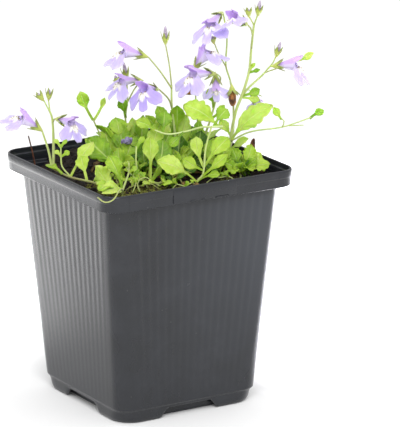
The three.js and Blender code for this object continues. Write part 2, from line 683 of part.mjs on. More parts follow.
function archShoot() {
  return [
    leaf([19.8, -22.4, 97.4], [3.8, -29, 107.8], 9.4, SLANT, 1.2),
    stem(
      0.8,
      [20, -22, ROOT_BOTTOM],
      [20, -22, 97.4],
      [22.4, -21, 100],
      [23.6, -16, 110],
      [26, -12, 118.2],
    ),
    stem(
      0.7,
      [30.5, -10, 117.6],
      [26, -12, 118],
      [22, -11, 117.6],
      [15, -10, 115.4],
      [8, -10, 114.4],
      [1.5, -8, 116],
    ),
    leaf([22.8, -19.6, 101.4], [14.4, -23, 107.4], 5, SLANT, 0.8),
    leaf([22.9, -19, 102.6], [19.6, -10, 113.4], 5.4, FRONT, 0.6),
    leaf([23, -18.8, 103], [33, -12, 113.6], 7.6, SLANT, 1),
    leaf([22.2, -21.1, 99.4], [32.4, -23.5, 109], 5, SLANT, 0.8),
    leaf([20, -22, 97.2], [29.4, -26, 101.5], 4.4, SKY, 1),
    leaf([29, -10.6, 117.6], [14.6, -11, 127], 8.6, SLANT, 1.4, 0.15),
    leaf([26.8, -11.6, 118], [32.4, -9, 124.8], 6, FRONT, 0.6),
    leaf([15, -10, 115.4], [9, -13.4, 110], 4.2, FRONT, 0.6),
    leaf([6, -9.4, 114.6], [6.6, -6, 123.4], 6.4, FRONT, 0.6, 0.15),
    leaf([3, -8.6, 115.4], [-5, -8, 119.6], 5, FRONT, 0.6, 0.15),
  ];
}

function tallShoot() {
  return [
    stem(
      1,
      [33.5, 4, ROOT_BOTTOM],
      [33.5, 4, 98],
      [33.6, 4, 106],
      [36, 5, 120],
      [39, 6, 128],
      [41.5, 8, 136.5],
      [42.5, 9, 147],
      [43.5, 10, 156],
    ),
    stem(0.55, [43.5, 10, 155.6], [41.4, 10, 159.4]),
    stem(0.6, [43.5, 10, 155.6], [45, 10, 160]),
    bud([41.4, 10, 159], [-0.1, 0, 1], 0.62),
    bud([45, 10, 159.4], [0.15, 0, 1], 0.85),
    stem(0.65, [42.4, 8.9, 145.6], [42.9, 7.8, 151], [42.2, 7.8, 154.6], [41, 8, 156]),
    leaf([41.4, 8, 136], [46, 7.6, 137.4], 1.9, FRONT, 0.2),
    leaf([41.4, 8, 136], [44, 7.6, 140.2], 1.6, FRONT, 0.2),
    leaf([38.6, 6, 126.8], [46, 7.6, 129], 3.4, FRONT, 0.5),
    leaf([38.2, 6, 126], [45.6, 7, 124.4], 3, FRONT, 0.5),
    leaf([34, 3.6, 108], [51, -2.5, 124.8], 9, SLANT, 1.6),
    stem(0.75, [38.4, 6, 126.4], [41.8, 8, 130], [47, 9.6, 134.5], [50.2, 9, 138.4]),
    stem(0.55, [49, 9.6, 137], [51.4, 10.4, 139.6], [52.6, 10.4, 142.4]),
    bud([52.6, 10.4, 142], [0.3, 0, 1], 0.85),
    stem(0.5, [48, 9.6, 135.6], [54.5, 13.4, 137], [62, 14.4, 140]),
    leaf([61.2, 14.3, 139.6], [68, 13, 143.3], 3.2, FRONT, 0.5),
    stem(0.6, [34, 3.6, 108], [42, 1.5, 112.4], [55.5, 2, 114.4], [67.4, 4, 118]),
    leaf([66.6, 4, 117.4], [72.4, 4, 121], 3.2, FRONT, 0.5),
    stem(0.5, [55.2, 2, 114.2], [56, 2, 116.8], [54.6, 2, 118]),
    leaf([54.8, 2, 117.6], [51.6, 2.4, 122.6], 3, FRONT, 0.5, 0.1),
    stem(0.45, [58, 2.4, 114.8], [64, 1, 115.4]),
    leaf([33.6, 3.8, 104], [41, -5.6, 111.4], 4, SLANT, 1),
    leaf([33.5, 4, 98.4], [27.5, -4.5, 107], 5.6, SLANT, 1.2),
    calyxOf("corolla_top"),
    calyxOf("corolla_right"),
    stem(0.5, [39.4, 6.6, 128.6], [40, 11, 128.4], [42, 14, 127]),
    calyxOf("corolla_right_low"),
  ];
}

function backStalks() {
  return [
    stem(
      0.7,
      [33, 13, ROOT_BOTTOM],
      [33, 13, 98],
      [35, 13, 108],
      [35.2, 14, 116],
      [35, 15.6, 122],
      [33.8, 16.4, 130.5],
      [32, 16, 137],
      [32.4, 17.4, 148],
      [31.2, 18, 157],
      [30.5, 17.5, 159.6],
    ),
    stem(0.5, [32, 16, 136.6], [29, 14, 142.5], [27, 12, 148]),
    bud([27, 12, 147.4], [-0.2, -0.2, 1], 0.45),
    calyx([34.3, 11.5, 129], [0.1, -0.05, -1], [0, -1, 0.5], 3, 5.4),
    stem(0.5, [33.6, 16.3, 130.6], [34.3, 11.5, 129]),
    calyxOf("corolla_top_left"),
    leaf([34.8, 13, 106.5], [29.5, 15, 114], 4.2, SLANT, 0.8),
  ];
}

function centreStalks() {
  return [
    stem(
      0.65,
      [21, 12, ROOT_BOTTOM],
      [21, 12, 98],
      [20.6, 12, 108],
      [19.5, 11, 124],
      [18.5, 10, 136.5],
    ),
    stem(0.75, [20.8, 12, 102], [25, 13, 113], [28, 14.4, 124], [28.6, 14.4, 131], [27.5, 13, 135]),
    stem(0.6, [28.4, 14.4, 128.6], [29.8, 11, 133], [28, 8, 135.5]),
    leaf([26.8, 13.8, 119.6], [24.6, 10.4, 128.4], 4, FRONT, 0.5),
    leaf([25.6, 13.2, 115], [31.4, 10.4, 121.5], 3.4, FRONT, 0.5),
    calyxOf("corolla_upright"),
    calyxOf("corolla_centre"),
    calyxOf("corolla_centre_right"),
  ];
}

// A rosette of leaves round a root, each turned on by the golden angle, at a seeded length and tilt.
function rosette(x, y, count, length, width, seed, from = 0) {
  const random = seeded(seed);
  const golden = THREE.MathUtils.degToRad(137.5);
  const leaves = [];
  for (let k = 0; k < count; k++) {
    const turn = from + k * golden + 0.3 * random();
    const out = new THREE.Vector3(Math.cos(turn), Math.sin(turn), 0);
    const tilt = THREE.MathUtils.degToRad(22 + 34 * random());
    const size = length * (0.8 + 0.3 * random());
    const base = new THREE.Vector3(x, y, 97 + 0.1 * k);
    const tip = base.clone().addScaledVector(out, size * Math.cos(tilt));
    tip.z += size * Math.sin(tilt);
    const face = UP.clone().addScaledVector(out, -0.6);
    leaves.push(leaf(base, tip, width * (0.85 + 0.3 * random()), face, 1.2 + random()));
  }
  return [root(x, y, 98.2), ...leaves];
}

function rightRosette() {
  return [
    root(38, -8),
    leaf([38, -7.6, 98], [42.6, -2.5, 108], 5.2, FRONT, 0.8),
    leaf([38.2, -8, 97.8], [50, -9.5, 101.8], 5, SLANT, 1.4),
    leaf([37.8, -7.6, 98], [34.6, -2.6, 106.6], 5.2, FRONT, 0.8),
    leaf([37.8, -8.2, 97.8], [31.4, -14, 103.4], 4.8, SLANT, 0.8),
    leaf([38.2, -7.8, 98], [46.6, -1.5, 104.2], 4.6, SLANT, 0.8),
    leaf([38.2, -8.4, 97.6], [43, -17, 101.2], 4.2, SKY, 1),
    leaf([37.8, -8.4, 97.6], [34, -19, 100.6], 4.2, SKY, 1),
  ];
}

const SHOOTS = {
  shoot_left_runner: runnerLeft(),
  shoot_near_corner: cornerShoot(),
  shoot_left_crown: leftCrown(),
  shoot_left_sprig: leftSprig(),
  shoot_middle_left: middleLeft(),
  shoot_centre: centreShoot(),
  shoot_front: frontShoot(),
  shoot_arching: archShoot(),
  shoot_tall: tallShoot(),
  shoot_back_stalks: backStalks(),
  shoot_centre_stalks: centreStalks(),
  rosette_right: rightRosette(),
  rosette_back_left: rosette(-14, 30, 4, 12, 5.8, 11, 0.4),
  rosette_back: rosette(6, 35, 4, 12, 5.8, 23, 1.2),
  rosette_back_right: rosette(22, 24, 4, 12, 5.8, 37, 0.2),
};

const WITHERED = {
  withered_hanging: withered([34.5, 11.4, 127], [0.1, -0.05, -1], 8.5, 5),
  withered_on_leaf: withered([-11.5, -3.2, 109.2], [0.8, -0.3, 0.3], 5.5, 9),
  withered_centre: withered([18.4, 9.9, 129.2], [-0.67, -0.67, -0.33], 5, 14),
};

// Bark sliver and dry stalk: each stands in its own hole.
const barkSliver = (grow = 0) =>
  skin([
    roundRing([38.6, 2.6, ROOT_BOTTOM - grow], axesOf([0, 0, 1], [0, -1, 0]), 1.8 + grow, 1 + grow, 0, 5),
    roundRing([40.4, 3.6, 97], axesOf([0.2, 0, 1], [0, -1, 0]), 2.2 + grow, 1.2 + grow, 0, 5),
    roundRing([42.4, 5, 104], axesOf([0.2, 0, 1], [0.3, -1, 0]), 1.8 + grow, 0.9 + grow, 0, 5),
    roundRing([43.6, 6, 108.6], axesOf([0.1, 0, 1], [0.3, -1, 0]), 0.5 + grow, 0.4 + grow, 0, 5),
  ]);

const dryStalk = () => stem(0.6, [-46.5, 7.4, 84], [-46.8, 7.5, 91], [-48, 8, 100], [-50, 8, 109]);

// Materials
const material = (color, roughness) => new THREE.MeshStandardMaterial({ color, roughness, metalness: 0 });
const POT_PLASTIC = material(0x2c2d2f, 0.42);
const SOIL = material(0x1d1611, 0.95);
const FOLIAGE = material(0x8cc63a, 0.5);
const PETAL = material(0xb9a2ea, 0.6);
const WITHERED_PETAL = material(0x7a5a4a, 0.9);
const BARK = material(0x3a231b, 0.9);

function addMesh(group, name, solid, finish) {
  const mesh = new THREE.Mesh(toGeometry(solid), finish);
  mesh.name = name;
  group.add(mesh);
}

const mazus = new THREE.Group();
const plant = new THREE.Group();
plant.rotation.z = PLANT_TURN;
mazus.add(plant);

const turned = (solid) => solid.rotate([0, 0, THREE.MathUtils.radToDeg(PLANT_TURN)]);
const upright = axesOf([0, 0, 1], [0, -1, 0]);
const hole = ({ x, y, radius }) => {
  const ring = (z) => roundRing([x, y, z], upright, radius + GAP + 0.1, radius + GAP + 0.1, 0, 5);
  return turned(skin([ring(ROOT_BOTTOM - GAP), ring(POT_HEIGHT)]));
};
const stalkHole = turned(stem(1.1, [-46.5, 7.4, 83], [-46.8, 7.5, 91], [-48, 8, 102]));
const soil = soilBlock()
  .intersect(potRoom())
  .subtract(fuse([...HOLES.map(hole), turned(barkSliver(GAP)), stalkHole]));

addMesh(mazus, "pot", makePot(), POT_PLASTIC);
addMesh(mazus, "soil", largest(soil), SOIL);
addMesh(plant, "bark_sliver", barkSliver(), BARK);
addMesh(plant, "dry_stalk", dryStalk(), BARK);

for (const [name, solids] of Object.entries(SHOOTS)) {
  addMesh(plant, name, fuse(solids), FOLIAGE);
}
for (const [name, place] of Object.entries(FLOWERS)) {
  addMesh(plant, name, corolla(place), PETAL);
}
for (const [name, solid] of Object.entries(WITHERED)) {
  addMesh(plant, name, solid, WITHERED_PETAL);
}

export default mazus;
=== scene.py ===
import math
import random

import bmesh
import bpy
from mathutils import Matrix, Quaternion, Vector, noise
from mathutils.geometry import interpolate_bezier


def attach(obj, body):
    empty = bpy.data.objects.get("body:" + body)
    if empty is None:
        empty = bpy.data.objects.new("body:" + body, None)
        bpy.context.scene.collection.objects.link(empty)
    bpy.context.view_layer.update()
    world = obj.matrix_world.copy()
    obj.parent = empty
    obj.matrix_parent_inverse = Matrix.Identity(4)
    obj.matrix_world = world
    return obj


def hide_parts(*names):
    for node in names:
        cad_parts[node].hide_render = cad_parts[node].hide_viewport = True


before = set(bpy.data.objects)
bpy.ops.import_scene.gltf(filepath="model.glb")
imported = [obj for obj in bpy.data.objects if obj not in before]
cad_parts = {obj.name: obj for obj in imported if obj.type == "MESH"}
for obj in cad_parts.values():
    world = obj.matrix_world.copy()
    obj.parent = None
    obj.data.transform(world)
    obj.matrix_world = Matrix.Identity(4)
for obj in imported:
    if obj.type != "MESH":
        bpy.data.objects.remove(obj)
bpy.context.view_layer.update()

MM = 0.001
PLANT_TURN = math.radians(-31.4)
UP = Vector((0, 0, 1))

# Pot
RIM_WIDTH = 90
POT_HEIGHT = 101
BAND_HEIGHT = 7
BAND_FOOT = POT_HEIGHT - BAND_HEIGHT
BODY_WIDTH = 80.6
FOOT_TOP_WIDTH = 66.8
BASE_WIDTH = 65.2
FOOT_HEIGHT = 5.6
WALL = 1
RIM_CORNER = 7.3
BODY_CORNER = 6.6
FOOT_CORNER = 9.6
FLOOR_HEIGHT = 4.2
PAN_WIDTH = 57
NOTCH_WIDTH = 24
NOTCH_HEIGHT = 4
NOTCH_SLOPE = 4.5
DRAIN_RADIUS = 3.5
DRAIN_OFFSET = 19
RIBS_PER_SIDE = 15
RIB_RELIEF = (0.36, 0.4, 0.4, 0.1)  # the ribs' height on the sides that face -Y, +X, +Y and -X
RIB_MARGIN = 4.4
RIB_FAINTEST = 0.2  # the share of that height which is left at the ribs' lower ends
RIB_FADE_FOOT = 15  # the ribs rise from their faintest here
RIB_FADE_TOP = 80  # to their full height here
PLATE_WIDTH = 30
PLATE_HEIGHT = 5.6
PLATE_DEPTH = 0.15
LUGS = ((-6, 1.6), (-1, 1.2), (8, 6))  # each lug's place along the plate's foot, and its width

# The pot's columns of points: in each corner, in each rib, and along each side.
CORNER_STEPS = 9
RIB_STEPS = 6
SIDE_STEPS = RIBS_PER_SIDE * RIB_STEPS + 4

# Soil and litter
SOIL_TOP = 96.2
SOIL_CELLS = 110
SOIL_REACH = RIM_WIDTH / 2 - WALL - 0.75
SHELF_REACH = BODY_WIDTH / 2 - WALL - 0.1
SOIL_FLOOR = FLOOR_HEIGHT + WALL + 0.5
SOIL_RISES = ((-42, 42, 17, -6.4), (42, -40, 13, -3), (-16, 40, 13, 2))  # x, y, reach and rise
SOIL_CRUMBS = 1500
CRUMB_REACH = 41
DEAD_LEAVES = 34
MOSS_TIPS = 150

# Plant
GOLDEN_ANGLE = math.radians(137.5)
ROOT_BOTTOM = 88
STEM_FINENESS = 0.4  # a stem's radius, as a share of its solid's
STEM_SWELL = 0.34  # what each millimetre of that solid's radius adds to the share
STEM_TAPER = 0.4
LEAF_FOLD = 0.22
LEAF_VEINS = 4.5  # the side veins on each side of a leaf's midrib
LEAF_THICKNESS = 0.26
PETAL_THICKNESS = 0.22
TUBE_START = 1.4
TUBE_FOOT = 0.6
TUBE_LENGTH = 10.3
MOUTH_WIDE = 2.7
MOUTH_HIGH = 2.5
CUP_LENGTH = 2.6
CUP_RADIUS = 1.2
CUP_SHARE = 0.45  # the share of a calyx, from its foot, that is its cup
CALYX_HAIRS = 46
BELLY_SHARE = 0.55  # the share of a bud, from its foot, that still widens
LIP_REACH = 10.6
LIP_ROOT = 1.2
LIP_FAN = math.radians(80)
LIP_EDGE = 7 / 12  # the share of a flower's round, from the bottom middle, where its lips part
UPPER_LIP_REACH = 7.4
PETAL_VEINS = 23  # the veins that fan out over a flower's lips
LOBE_NOTCH = 0.28  # where the lower lip's middle lobe ends, from 0 in its middle to 1 at its side
MOUTH = 0.38  # the share of a flower, from its foot, that is its tube
RIDGE_ASIDE = 1.3
RIDGE_HEIGHT = 1.2
PALATE_HAIRS = 9
ROSETTE_CRINKLE = 2.4


# Colours and nodes
def linear(hex_colour):
    """An sRGB hex colour in linear light."""
    parts = [int(hex_colour[i : i + 2], 16) / 255 for i in (1, 3, 5)]
    return [p / 12.92 if p <= 0.04045 else ((p + 0.055) / 1.055) ** 2.4 for p in parts] + [1]


def first_output(node):
    """The first of a node's outputs that is in use."""
    return next(socket for socket in node.outputs if socket.enabled)


def add(tree, kind, inputs=None, stops=None, into=None, **settings):
    """Adds a node with its settings, its values or links, and a ramp's colour stops, and links it into
    a socket. A node among the inputs stands for its first output."""
    node = tree.nodes.new("ShaderNode" + kind)
    for name, value in settings.items():
        setattr(node, name, value)
    for key, value in (inputs or {}).items():
        if isinstance(value, bpy.types.Node):
            value = first_output(value)
        if isinstance(value, bpy.types.NodeSocket):
            tree.links.new(value, node.inputs[key])
        else:
            node.inputs[key].default_value = value
    if stops:
        elements = node.color_ramp.elements
        while len(elements) < len(stops):
            elements.new(1)
        for element, (position, colour) in zip(elements, stops):
            element.position = position
            element.color = linear(colour)
    if into:
        tree.links.new(first_output(node), into)
    return node


# The settings of a MapRange node whose band has soft edges.
SOFT_EDGE = {"interpolation_type": "SMOOTHSTEP"}


def new_material(name, **values):
    """A material with its Principled shader, whose sockets take the values. A _ in a value's name
    stands for a space."""
    material = bpy.data.materials.new(name)
    material.use_nodes = True
    shader = material.node_tree.nodes["Principled BSDF"]
    for socket, value in values.items():
        shader.inputs[socket.replace("_", " ")].default_value = value
    return material, material.node_tree, shader


def per_mm(size):
    """The scale of a pattern on Object coordinates whose features are size millimetres across."""
    return 1 / (size * MM)


def black_polypropylene():
    """Polypropylene, injection moulded and handled: satin black, with a fine grain, cloudy scuffs, a
    thin grey painted sheen high on its right that stands in for the light it reflects there, and a few
    pale specks."""
    material, tree, shader = new_material(
        "black_polypropylene_moulded", IOR=1.49, Sheen_Weight=0.1, Sheen_Roughness=0.3
    )
    place = add(tree, "TexCoord").outputs["Object"]
    cloud = add(tree, "TexNoise", {"Vector": place, "Scale": per_mm(14), "Detail": 5, "Roughness": 0.6})
    tint = add(tree, "ValToRGB", {"Fac": cloud}, [(0.35, "#1c1e22"), (0.55, "#202227"), (0.75, "#27292e")])
    dust = add(tree, "TexVoronoi", {"Vector": place, "Scale": per_mm(6), "Randomness": 1})
    speck = add(tree, "ValToRGB", {"Fac": dust}, [(0.0, "#4a4a48"), (0.03, "#38383a"), (0.06, "#000000")])
    specked = add(
        tree, "Mix", {"Factor": 1.0, "A": tint, "B": speck}, data_type="RGBA", blend_type="LIGHTEN"
    )
    axes = add(tree, "SeparateXYZ", {"Vector": place})
    x, z = axes.outputs["X"], axes.outputs["Z"]
    # Painted light: the sides turn a lighter grey towards the right and the top, below the rim, a painted
    # sheen standing in for reflected light.
    rightward = add(tree, "MapRange", {"Value": x, "From Min": -20 * MM, "From Max": 30 * MM})
    upward = add(tree, "MapRange", {"Value": z, "From Min": 10 * MM, "From Max": 70 * MM})
    under_rim = {"From Min": 90 * MM, "From Max": 94 * MM, "To Min": 1.0, "To Max": 0.0}
    below_rim = add(tree, "MapRange", {"Value": z, **under_rim})
    raised = add(tree, "Math", {0: upward, 1: below_rim}, operation="MULTIPLY")
    painted_sheen = add(tree, "Math", {0: rightward, 1: raised}, operation="MULTIPLY")
    add(
        tree, "Mix", {"Factor": painted_sheen, "A": specked, "B": linear("#34373d")}, data_type="RGBA",
        into=shader.inputs["Base Color"],
    )
    add(tree, "MapRange", {"Value": cloud, "To Min": 0.2, "To Max": 0.3}, into=shader.inputs["Roughness"])
    # The real grain is finer. Half a millimetre is as coarse as it needs to be to show.
    grain = add(tree, "TexNoise", {"Vector": place, "Scale": per_mm(0.5), "Detail": 3})
    add(
        tree, "Bump", {"Strength": 0.12, "Distance": 0.05 * MM, "Height": grain},
        into=shader.inputs["Normal"],
    )
    return material


def potting_soil():
    """Peat and composted bark, damp: near black, with brown crumbs, a few of them pale."""
    material, tree, shader = new_material("peat_potting_soil", Roughness=0.92, IOR=1.4)
    place = add(tree, "TexCoord").outputs["Object"]
    tone = add(tree, "Attribute", attribute_name="tone").outputs["Fac"]
    cloud = add(tree, "TexNoise", {"Vector": place, "Scale": per_mm(2.5), "Detail": 6, "Roughness": 0.7})
    mixed = add(tree, "Math", {0: cloud, 1: tone, 2: 0.12}, operation="MULTIPLY_ADD")
    browns = [(0.2, "#0a0706"), (0.45, "#170f0a"), (0.68, "#2f2016"), (0.95, "#6b4f38")]
    add(tree, "ValToRGB", {"Fac": mixed}, browns, into=shader.inputs["Base Color"])
    add(
        tree, "Bump", {"Strength": 0.7, "Distance": 0.5 * MM, "Height": cloud},
        into=shader.inputs["Normal"],
    )
    return material


def leaf_blade():
    """A soft herb's leaf: satin, thin enough to glow, with a pale midrib and side veins, and a blade
    that puckers between them. The veins follow the blade's own UV map."""
    material, tree, shader = new_material(
        "fresh_leaf_blade", Roughness=0.48, IOR=1.36, Subsurface_Weight=0.35,
        Subsurface_Radius=(0.5, 0.9, 0.1), Subsurface_Scale=1.2 * MM,
    )
    place = add(tree, "TexCoord")
    tone = add(tree, "Attribute", attribute_name="tone").outputs["Fac"]
    across = add(tree, "SeparateXYZ", {"Vector": place.outputs["UV"]})
    centred = add(tree, "Math", {0: across.outputs["X"], 1: 0.5}, operation="SUBTRACT")
    off_rib = add(tree, "Math", {0: centred}, operation="ABSOLUTE")
    slope = add(tree, "Math", {0: off_rib, 1: 3.2}, operation="MULTIPLY")
    rows = add(tree, "Math", {0: across.outputs["Y"], 1: 2 * LEAF_VEINS}, operation="MULTIPLY")
    phase = add(tree, "Math", {0: rows, 1: slope}, operation="SUBTRACT")
    wave = add(tree, "Math", {0: phase, 1: 1.0}, operation="PINGPONG")
    fading = {"To Min": 1.0, "To Max": 0.0}
    side_vein = add(tree, "MapRange", {"Value": wave, "From Max": 0.16, **fading}, **SOFT_EDGE)
    midrib = add(tree, "MapRange", {"Value": off_rib, "From Max": 0.07, **fading}, **SOFT_EDGE)
    soft = add(tree, "Math", {0: side_vein, 1: 0.28}, operation="MULTIPLY")
    veins = add(tree, "Math", {0: midrib, 1: soft}, operation="MAXIMUM")
    faint = add(tree, "Math", {0: veins, 1: 0.5}, operation="MULTIPLY")
    mottle = add(tree, "TexNoise", {"Vector": place.outputs["Object"], "Scale": per_mm(4), "Detail": 4})
    shade = add(tree, "Math", {0: mottle, 1: 0.7, 2: tone}, operation="MULTIPLY_ADD")
    greens = [(0.28, "#3f6808"), (0.55, "#7ba11f"), (0.82, "#a0bd3a"), (1.0, "#b6cd60")]
    green = add(tree, "ValToRGB", {"Fac": shade}, greens)
    add(
        tree, "Mix", {"Factor": faint, "A": green, "B": linear("#c9da88")}, data_type="RGBA",
        into=shader.inputs["Base Color"],
    )
    pucker = add(tree, "TexNoise", {"Vector": place.outputs["Object"], "Scale": per_mm(1.3), "Detail": 3})
    relief = add(tree, "Math", {0: veins, 1: -0.8, 2: pucker}, operation="MULTIPLY_ADD")
    add(
        tree, "Bump", {"Strength": 0.7, "Distance": 0.4 * MM, "Height": relief},
        into=shader.inputs["Normal"],
    )
    return material


def green_stem():
    """A young herb stem: yellow-green and juicy, flushed brown-pink in places."""
    material, tree, shader = new_material(
        "young_green_stem", Roughness=0.42, IOR=1.42, Subsurface_Weight=0.3,
        Subsurface_Radius=(0.5, 0.8, 0.2), Subsurface_Scale=1 * MM, Sheen_Weight=0.25,
        Sheen_Roughness=0.4,
    )
    place = add(tree, "TexCoord").outputs["Object"]
    tone = add(tree, "Attribute", attribute_name="tone").outputs["Fac"]
    flush = add(tree, "TexNoise", {"Vector": place, "Scale": per_mm(9), "Detail": 2})
    mixed = add(tree, "Math", {0: flush, 1: 0.5, 2: tone}, operation="MULTIPLY_ADD")
    greens = [(0.3, "#8c7650"), (0.5, "#9ba25c"), (0.75, "#afc070"), (1.0, "#c6d692")]
    add(tree, "ValToRGB", {"Fac": mixed}, greens, into=shader.inputs["Base Color"])
    return material


def calyx_green():
    """A calyx: a little darker than the leaves, finely hairy, so it has a soft sheen."""
    material, tree, shader = new_material(
        "hairy_calyx", Roughness=0.55, IOR=1.42, Subsurface_Weight=0.2,
        Subsurface_Radius=(0.4, 0.8, 0.1), Subsurface_Scale=0.8 * MM, Sheen_Weight=0.4,
        Sheen_Roughness=0.5,
    )
    place = add(tree, "TexCoord")
    along = add(tree, "SeparateXYZ", {"Vector": place.outputs["UV"]}).outputs["Y"]
    mottle = add(tree, "TexNoise", {"Vector": place.outputs["Object"], "Scale": per_mm(1.6), "Detail": 2})
    mixed = add(tree, "Math", {0: mottle, 1: 0.5, 2: along}, operation="MULTIPLY_ADD")
    add(
        tree, "ValToRGB", {"Fac": mixed}, [(0.3, "#bcc46a"), (0.75, "#a9b650"), (1.0, "#8a943e")],
        into=shader.inputs["Base Color"],
    )
    return material


def lilac_petal():
    """A mazus corolla: thin and velvety. Its UV map runs round the flower, with the lower lip in the
    middle, and out along it: a cream palate, lilac lobes with darker veins, a violet upper lip. The
    deeper a flower's own shade, the more violet its lobes."""
    material, tree, shader = new_material(
        "velvety_lilac_petal", Roughness=0.6, IOR=1.4, Subsurface_Weight=0.4,
        Subsurface_Radius=(0.7, 0.6, 0.9), Subsurface_Scale=1.2 * MM, Sheen_Weight=0.3,
        Sheen_Roughness=0.5,
    )
    place = add(tree, "TexCoord")
    split = add(tree, "SeparateXYZ", {"Vector": place.outputs["UV"]})
    centred = add(tree, "Math", {0: split.outputs["X"], 1: 0.5}, operation="SUBTRACT")
    aside = add(tree, "Math", {0: centred}, operation="ABSOLUTE")
    out = split.outputs["Y"]
    lilacs = [(0.0, "#ddd3e8"), (0.4, "#d9cfee"), (0.6, "#c6b9ea"), (0.85, "#c1b6ec"), (1.0, "#d3cbf3")]
    lobes = add(tree, "ValToRGB", {"Fac": out}, lilacs)
    upper = add(tree, "MapRange", {"Value": aside, "From Min": 0.26, "From Max": 0.33}, **SOFT_EDGE)
    tone = add(tree, "Attribute", attribute_name="tone").outputs["Fac"]
    deeper = add(tree, "Mix", {"Factor": tone, "A": lobes, "B": linear("#9782d4")}, data_type="RGBA")
    mauve = add(tree, "Mix", {"Factor": upper, "A": deeper, "B": linear("#c2a4e7")}, data_type="RGBA")
    rays = add(tree, "Math", {0: split.outputs["X"], 1: 2 * PETAL_VEINS}, operation="MULTIPLY")
    wiggle = add(tree, "TexNoise", {"Vector": place.outputs["Object"], "Scale": per_mm(3), "Detail": 2})
    bent = add(tree, "Math", {0: wiggle, 1: 1.4, 2: rays}, operation="MULTIPLY_ADD")
    comb = add(tree, "Math", {0: bent, 1: 1.0}, operation="PINGPONG")
    fine = {"From Max": 0.25, "To Min": 0.25, "To Max": 0.0}
    vein = add(tree, "MapRange", {"Value": comb, **fine}, **SOFT_EDGE)
    veined = add(tree, "Mix", {"Factor": vein, "A": mauve, "B": linear("#9580d2")}, data_type="RGBA")
    narrow = {"From Min": 0.1, "From Max": 0.17, "To Min": 1.0, "To Max": 0.0}
    near_middle = add(tree, "MapRange", {"Value": aside, **narrow}, **SOFT_EDGE)
    before = add(tree, "MapRange", {"Value": out, "From Min": 0.3, "From Max": 0.42}, **SOFT_EDGE)
    ending = {"From Min": 0.63, "From Max": 0.74, "To Min": 1.0, "To Max": 0.0}
    beyond = add(tree, "MapRange", {"Value": out, **ending}, **SOFT_EDGE)
    band = add(tree, "Math", {0: before, 1: beyond}, operation="MULTIPLY")
    palate = add(tree, "Math", {0: band, 1: near_middle}, operation="MULTIPLY")
    add(
        tree, "Mix", {"Factor": palate, "A": veined, "B": linear("#f1ece2")}, data_type="RGBA",
        into=shader.inputs["Base Color"],
    )
    crinkle = add(tree, "TexNoise", {"Vector": place.outputs["Object"], "Scale": per_mm(1.2), "Detail": 3})
    add(
        tree, "Bump", {"Strength": 0.25, "Distance": 0.2 * MM, "Height": crinkle},
        into=shader.inputs["Normal"],
    )
    return material


def plain_tissue(name, dark, light, grain, roughness):
    """Small dry or fleshy parts: one colour mottled to another at a grain in millimetres."""
    material, tree, shader = new_material(name, Roughness=roughness, IOR=1.4)
    place = add(tree, "TexCoord").outputs["Object"]
    mottle = add(tree, "TexNoise", {"Vector": place, "Scale": per_mm(grain), "Detail": 5})
    add(
        tree, "ValToRGB", {"Fac": mottle}, [(0.35, dark), (0.65, light)], into=shader.inputs["Base Color"]
    )
    add(
        tree, "Bump", {"Strength": 0.5, "Distance": 0.2 * MM, "Height": mottle},
        into=shader.inputs["Normal"],
    )
    return material


POT_PLASTIC = black_polypropylene()
SOIL = potting_soil()
LEAF = leaf_blade()
STEM = green_stem()
CALYX = calyx_green()
PETAL = lilac_petal()
# A bud's folded petals: greyish violet, matt.
BUD_TIP = plain_tissue("folded_bud_petals", "#85768d", "#bdb0c4", 0.8, 0.6)
# The palate's club-shaped hairs: waxy, yellow-brown.
PALATE_HAIR = plain_tissue("waxy_palate_hairs", "#5d4a22", "#a08042", 0.6, 0.4)
# A withered corolla: papery, rust brown to slate.
WITHERED = plain_tissue("withered_papery_corolla", "#553a30", "#d08c4a", 2.4, 0.85)
# A corolla dropped while still violet: limp and dull.
FADED = plain_tissue("faded_violet_corolla", "#433c5e", "#a9a1c9", 1.6, 0.7)
# A dead leaf: papery, brown to straw.
DEAD_LEAF = plain_tissue("dead_papery_leaf", "#3f2d18", "#7d6437", 2.0, 0.8)
# Pine bark: fibrous red-brown.
BARK = plain_tissue("pine_bark_chip", "#2e1a12", "#6b3f2a", 1.2, 0.9)
# Moss: matt, from brown to yellow-green.
MOSS = plain_tissue("cushion_moss", "#4a3f1f", "#858b38", 1.5, 0.85)


# Laying surfaces
def clamped(share):
    """A share held between 0 and 1."""
    return min(1, max(0, share))


def eased(share):
    """A share held between 0 and 1, with a soft start and end."""
    share = clamped(share)
    return share * share * (3 - 2 * share)


def new_part():
    """An empty bmesh with the UV map and the tone that the finishes read."""
    bm = bmesh.new()
    bm.loops.layers.uv.new("UVMap")
    bm.verts.layers.float.new("tone")
    return bm


def append(bm, piece):
    """Adds one bmesh to another."""
    carrier = bpy.data.meshes.new("carrier")
    piece.to_mesh(carrier)
    piece.free()
    bm.from_mesh(carrier)
    bpy.data.meshes.remove(carrier)


def coat(piece, paint=0, smooth=True):
    """Gives all faces of a bmesh one material's number, and smooth or flat shading."""
    for face in piece.faces:
        face.material_index = paint
        face.smooth = smooth


def thicken(piece, thickness):
    """Doubles a sheet to a closed skin, thickness apart."""
    grown = bmesh.ops.extrude_face_region(piece, geom=piece.faces[:], use_keep_orig=True)["geom"]
    piece.normal_update()
    moves = [(item, item.normal * thickness) for item in grown if isinstance(item, bmesh.types.BMVert)]
    for vert, move in moves:
        vert.co -= move
    bmesh.ops.recalc_face_normals(piece, faces=piece.faces)


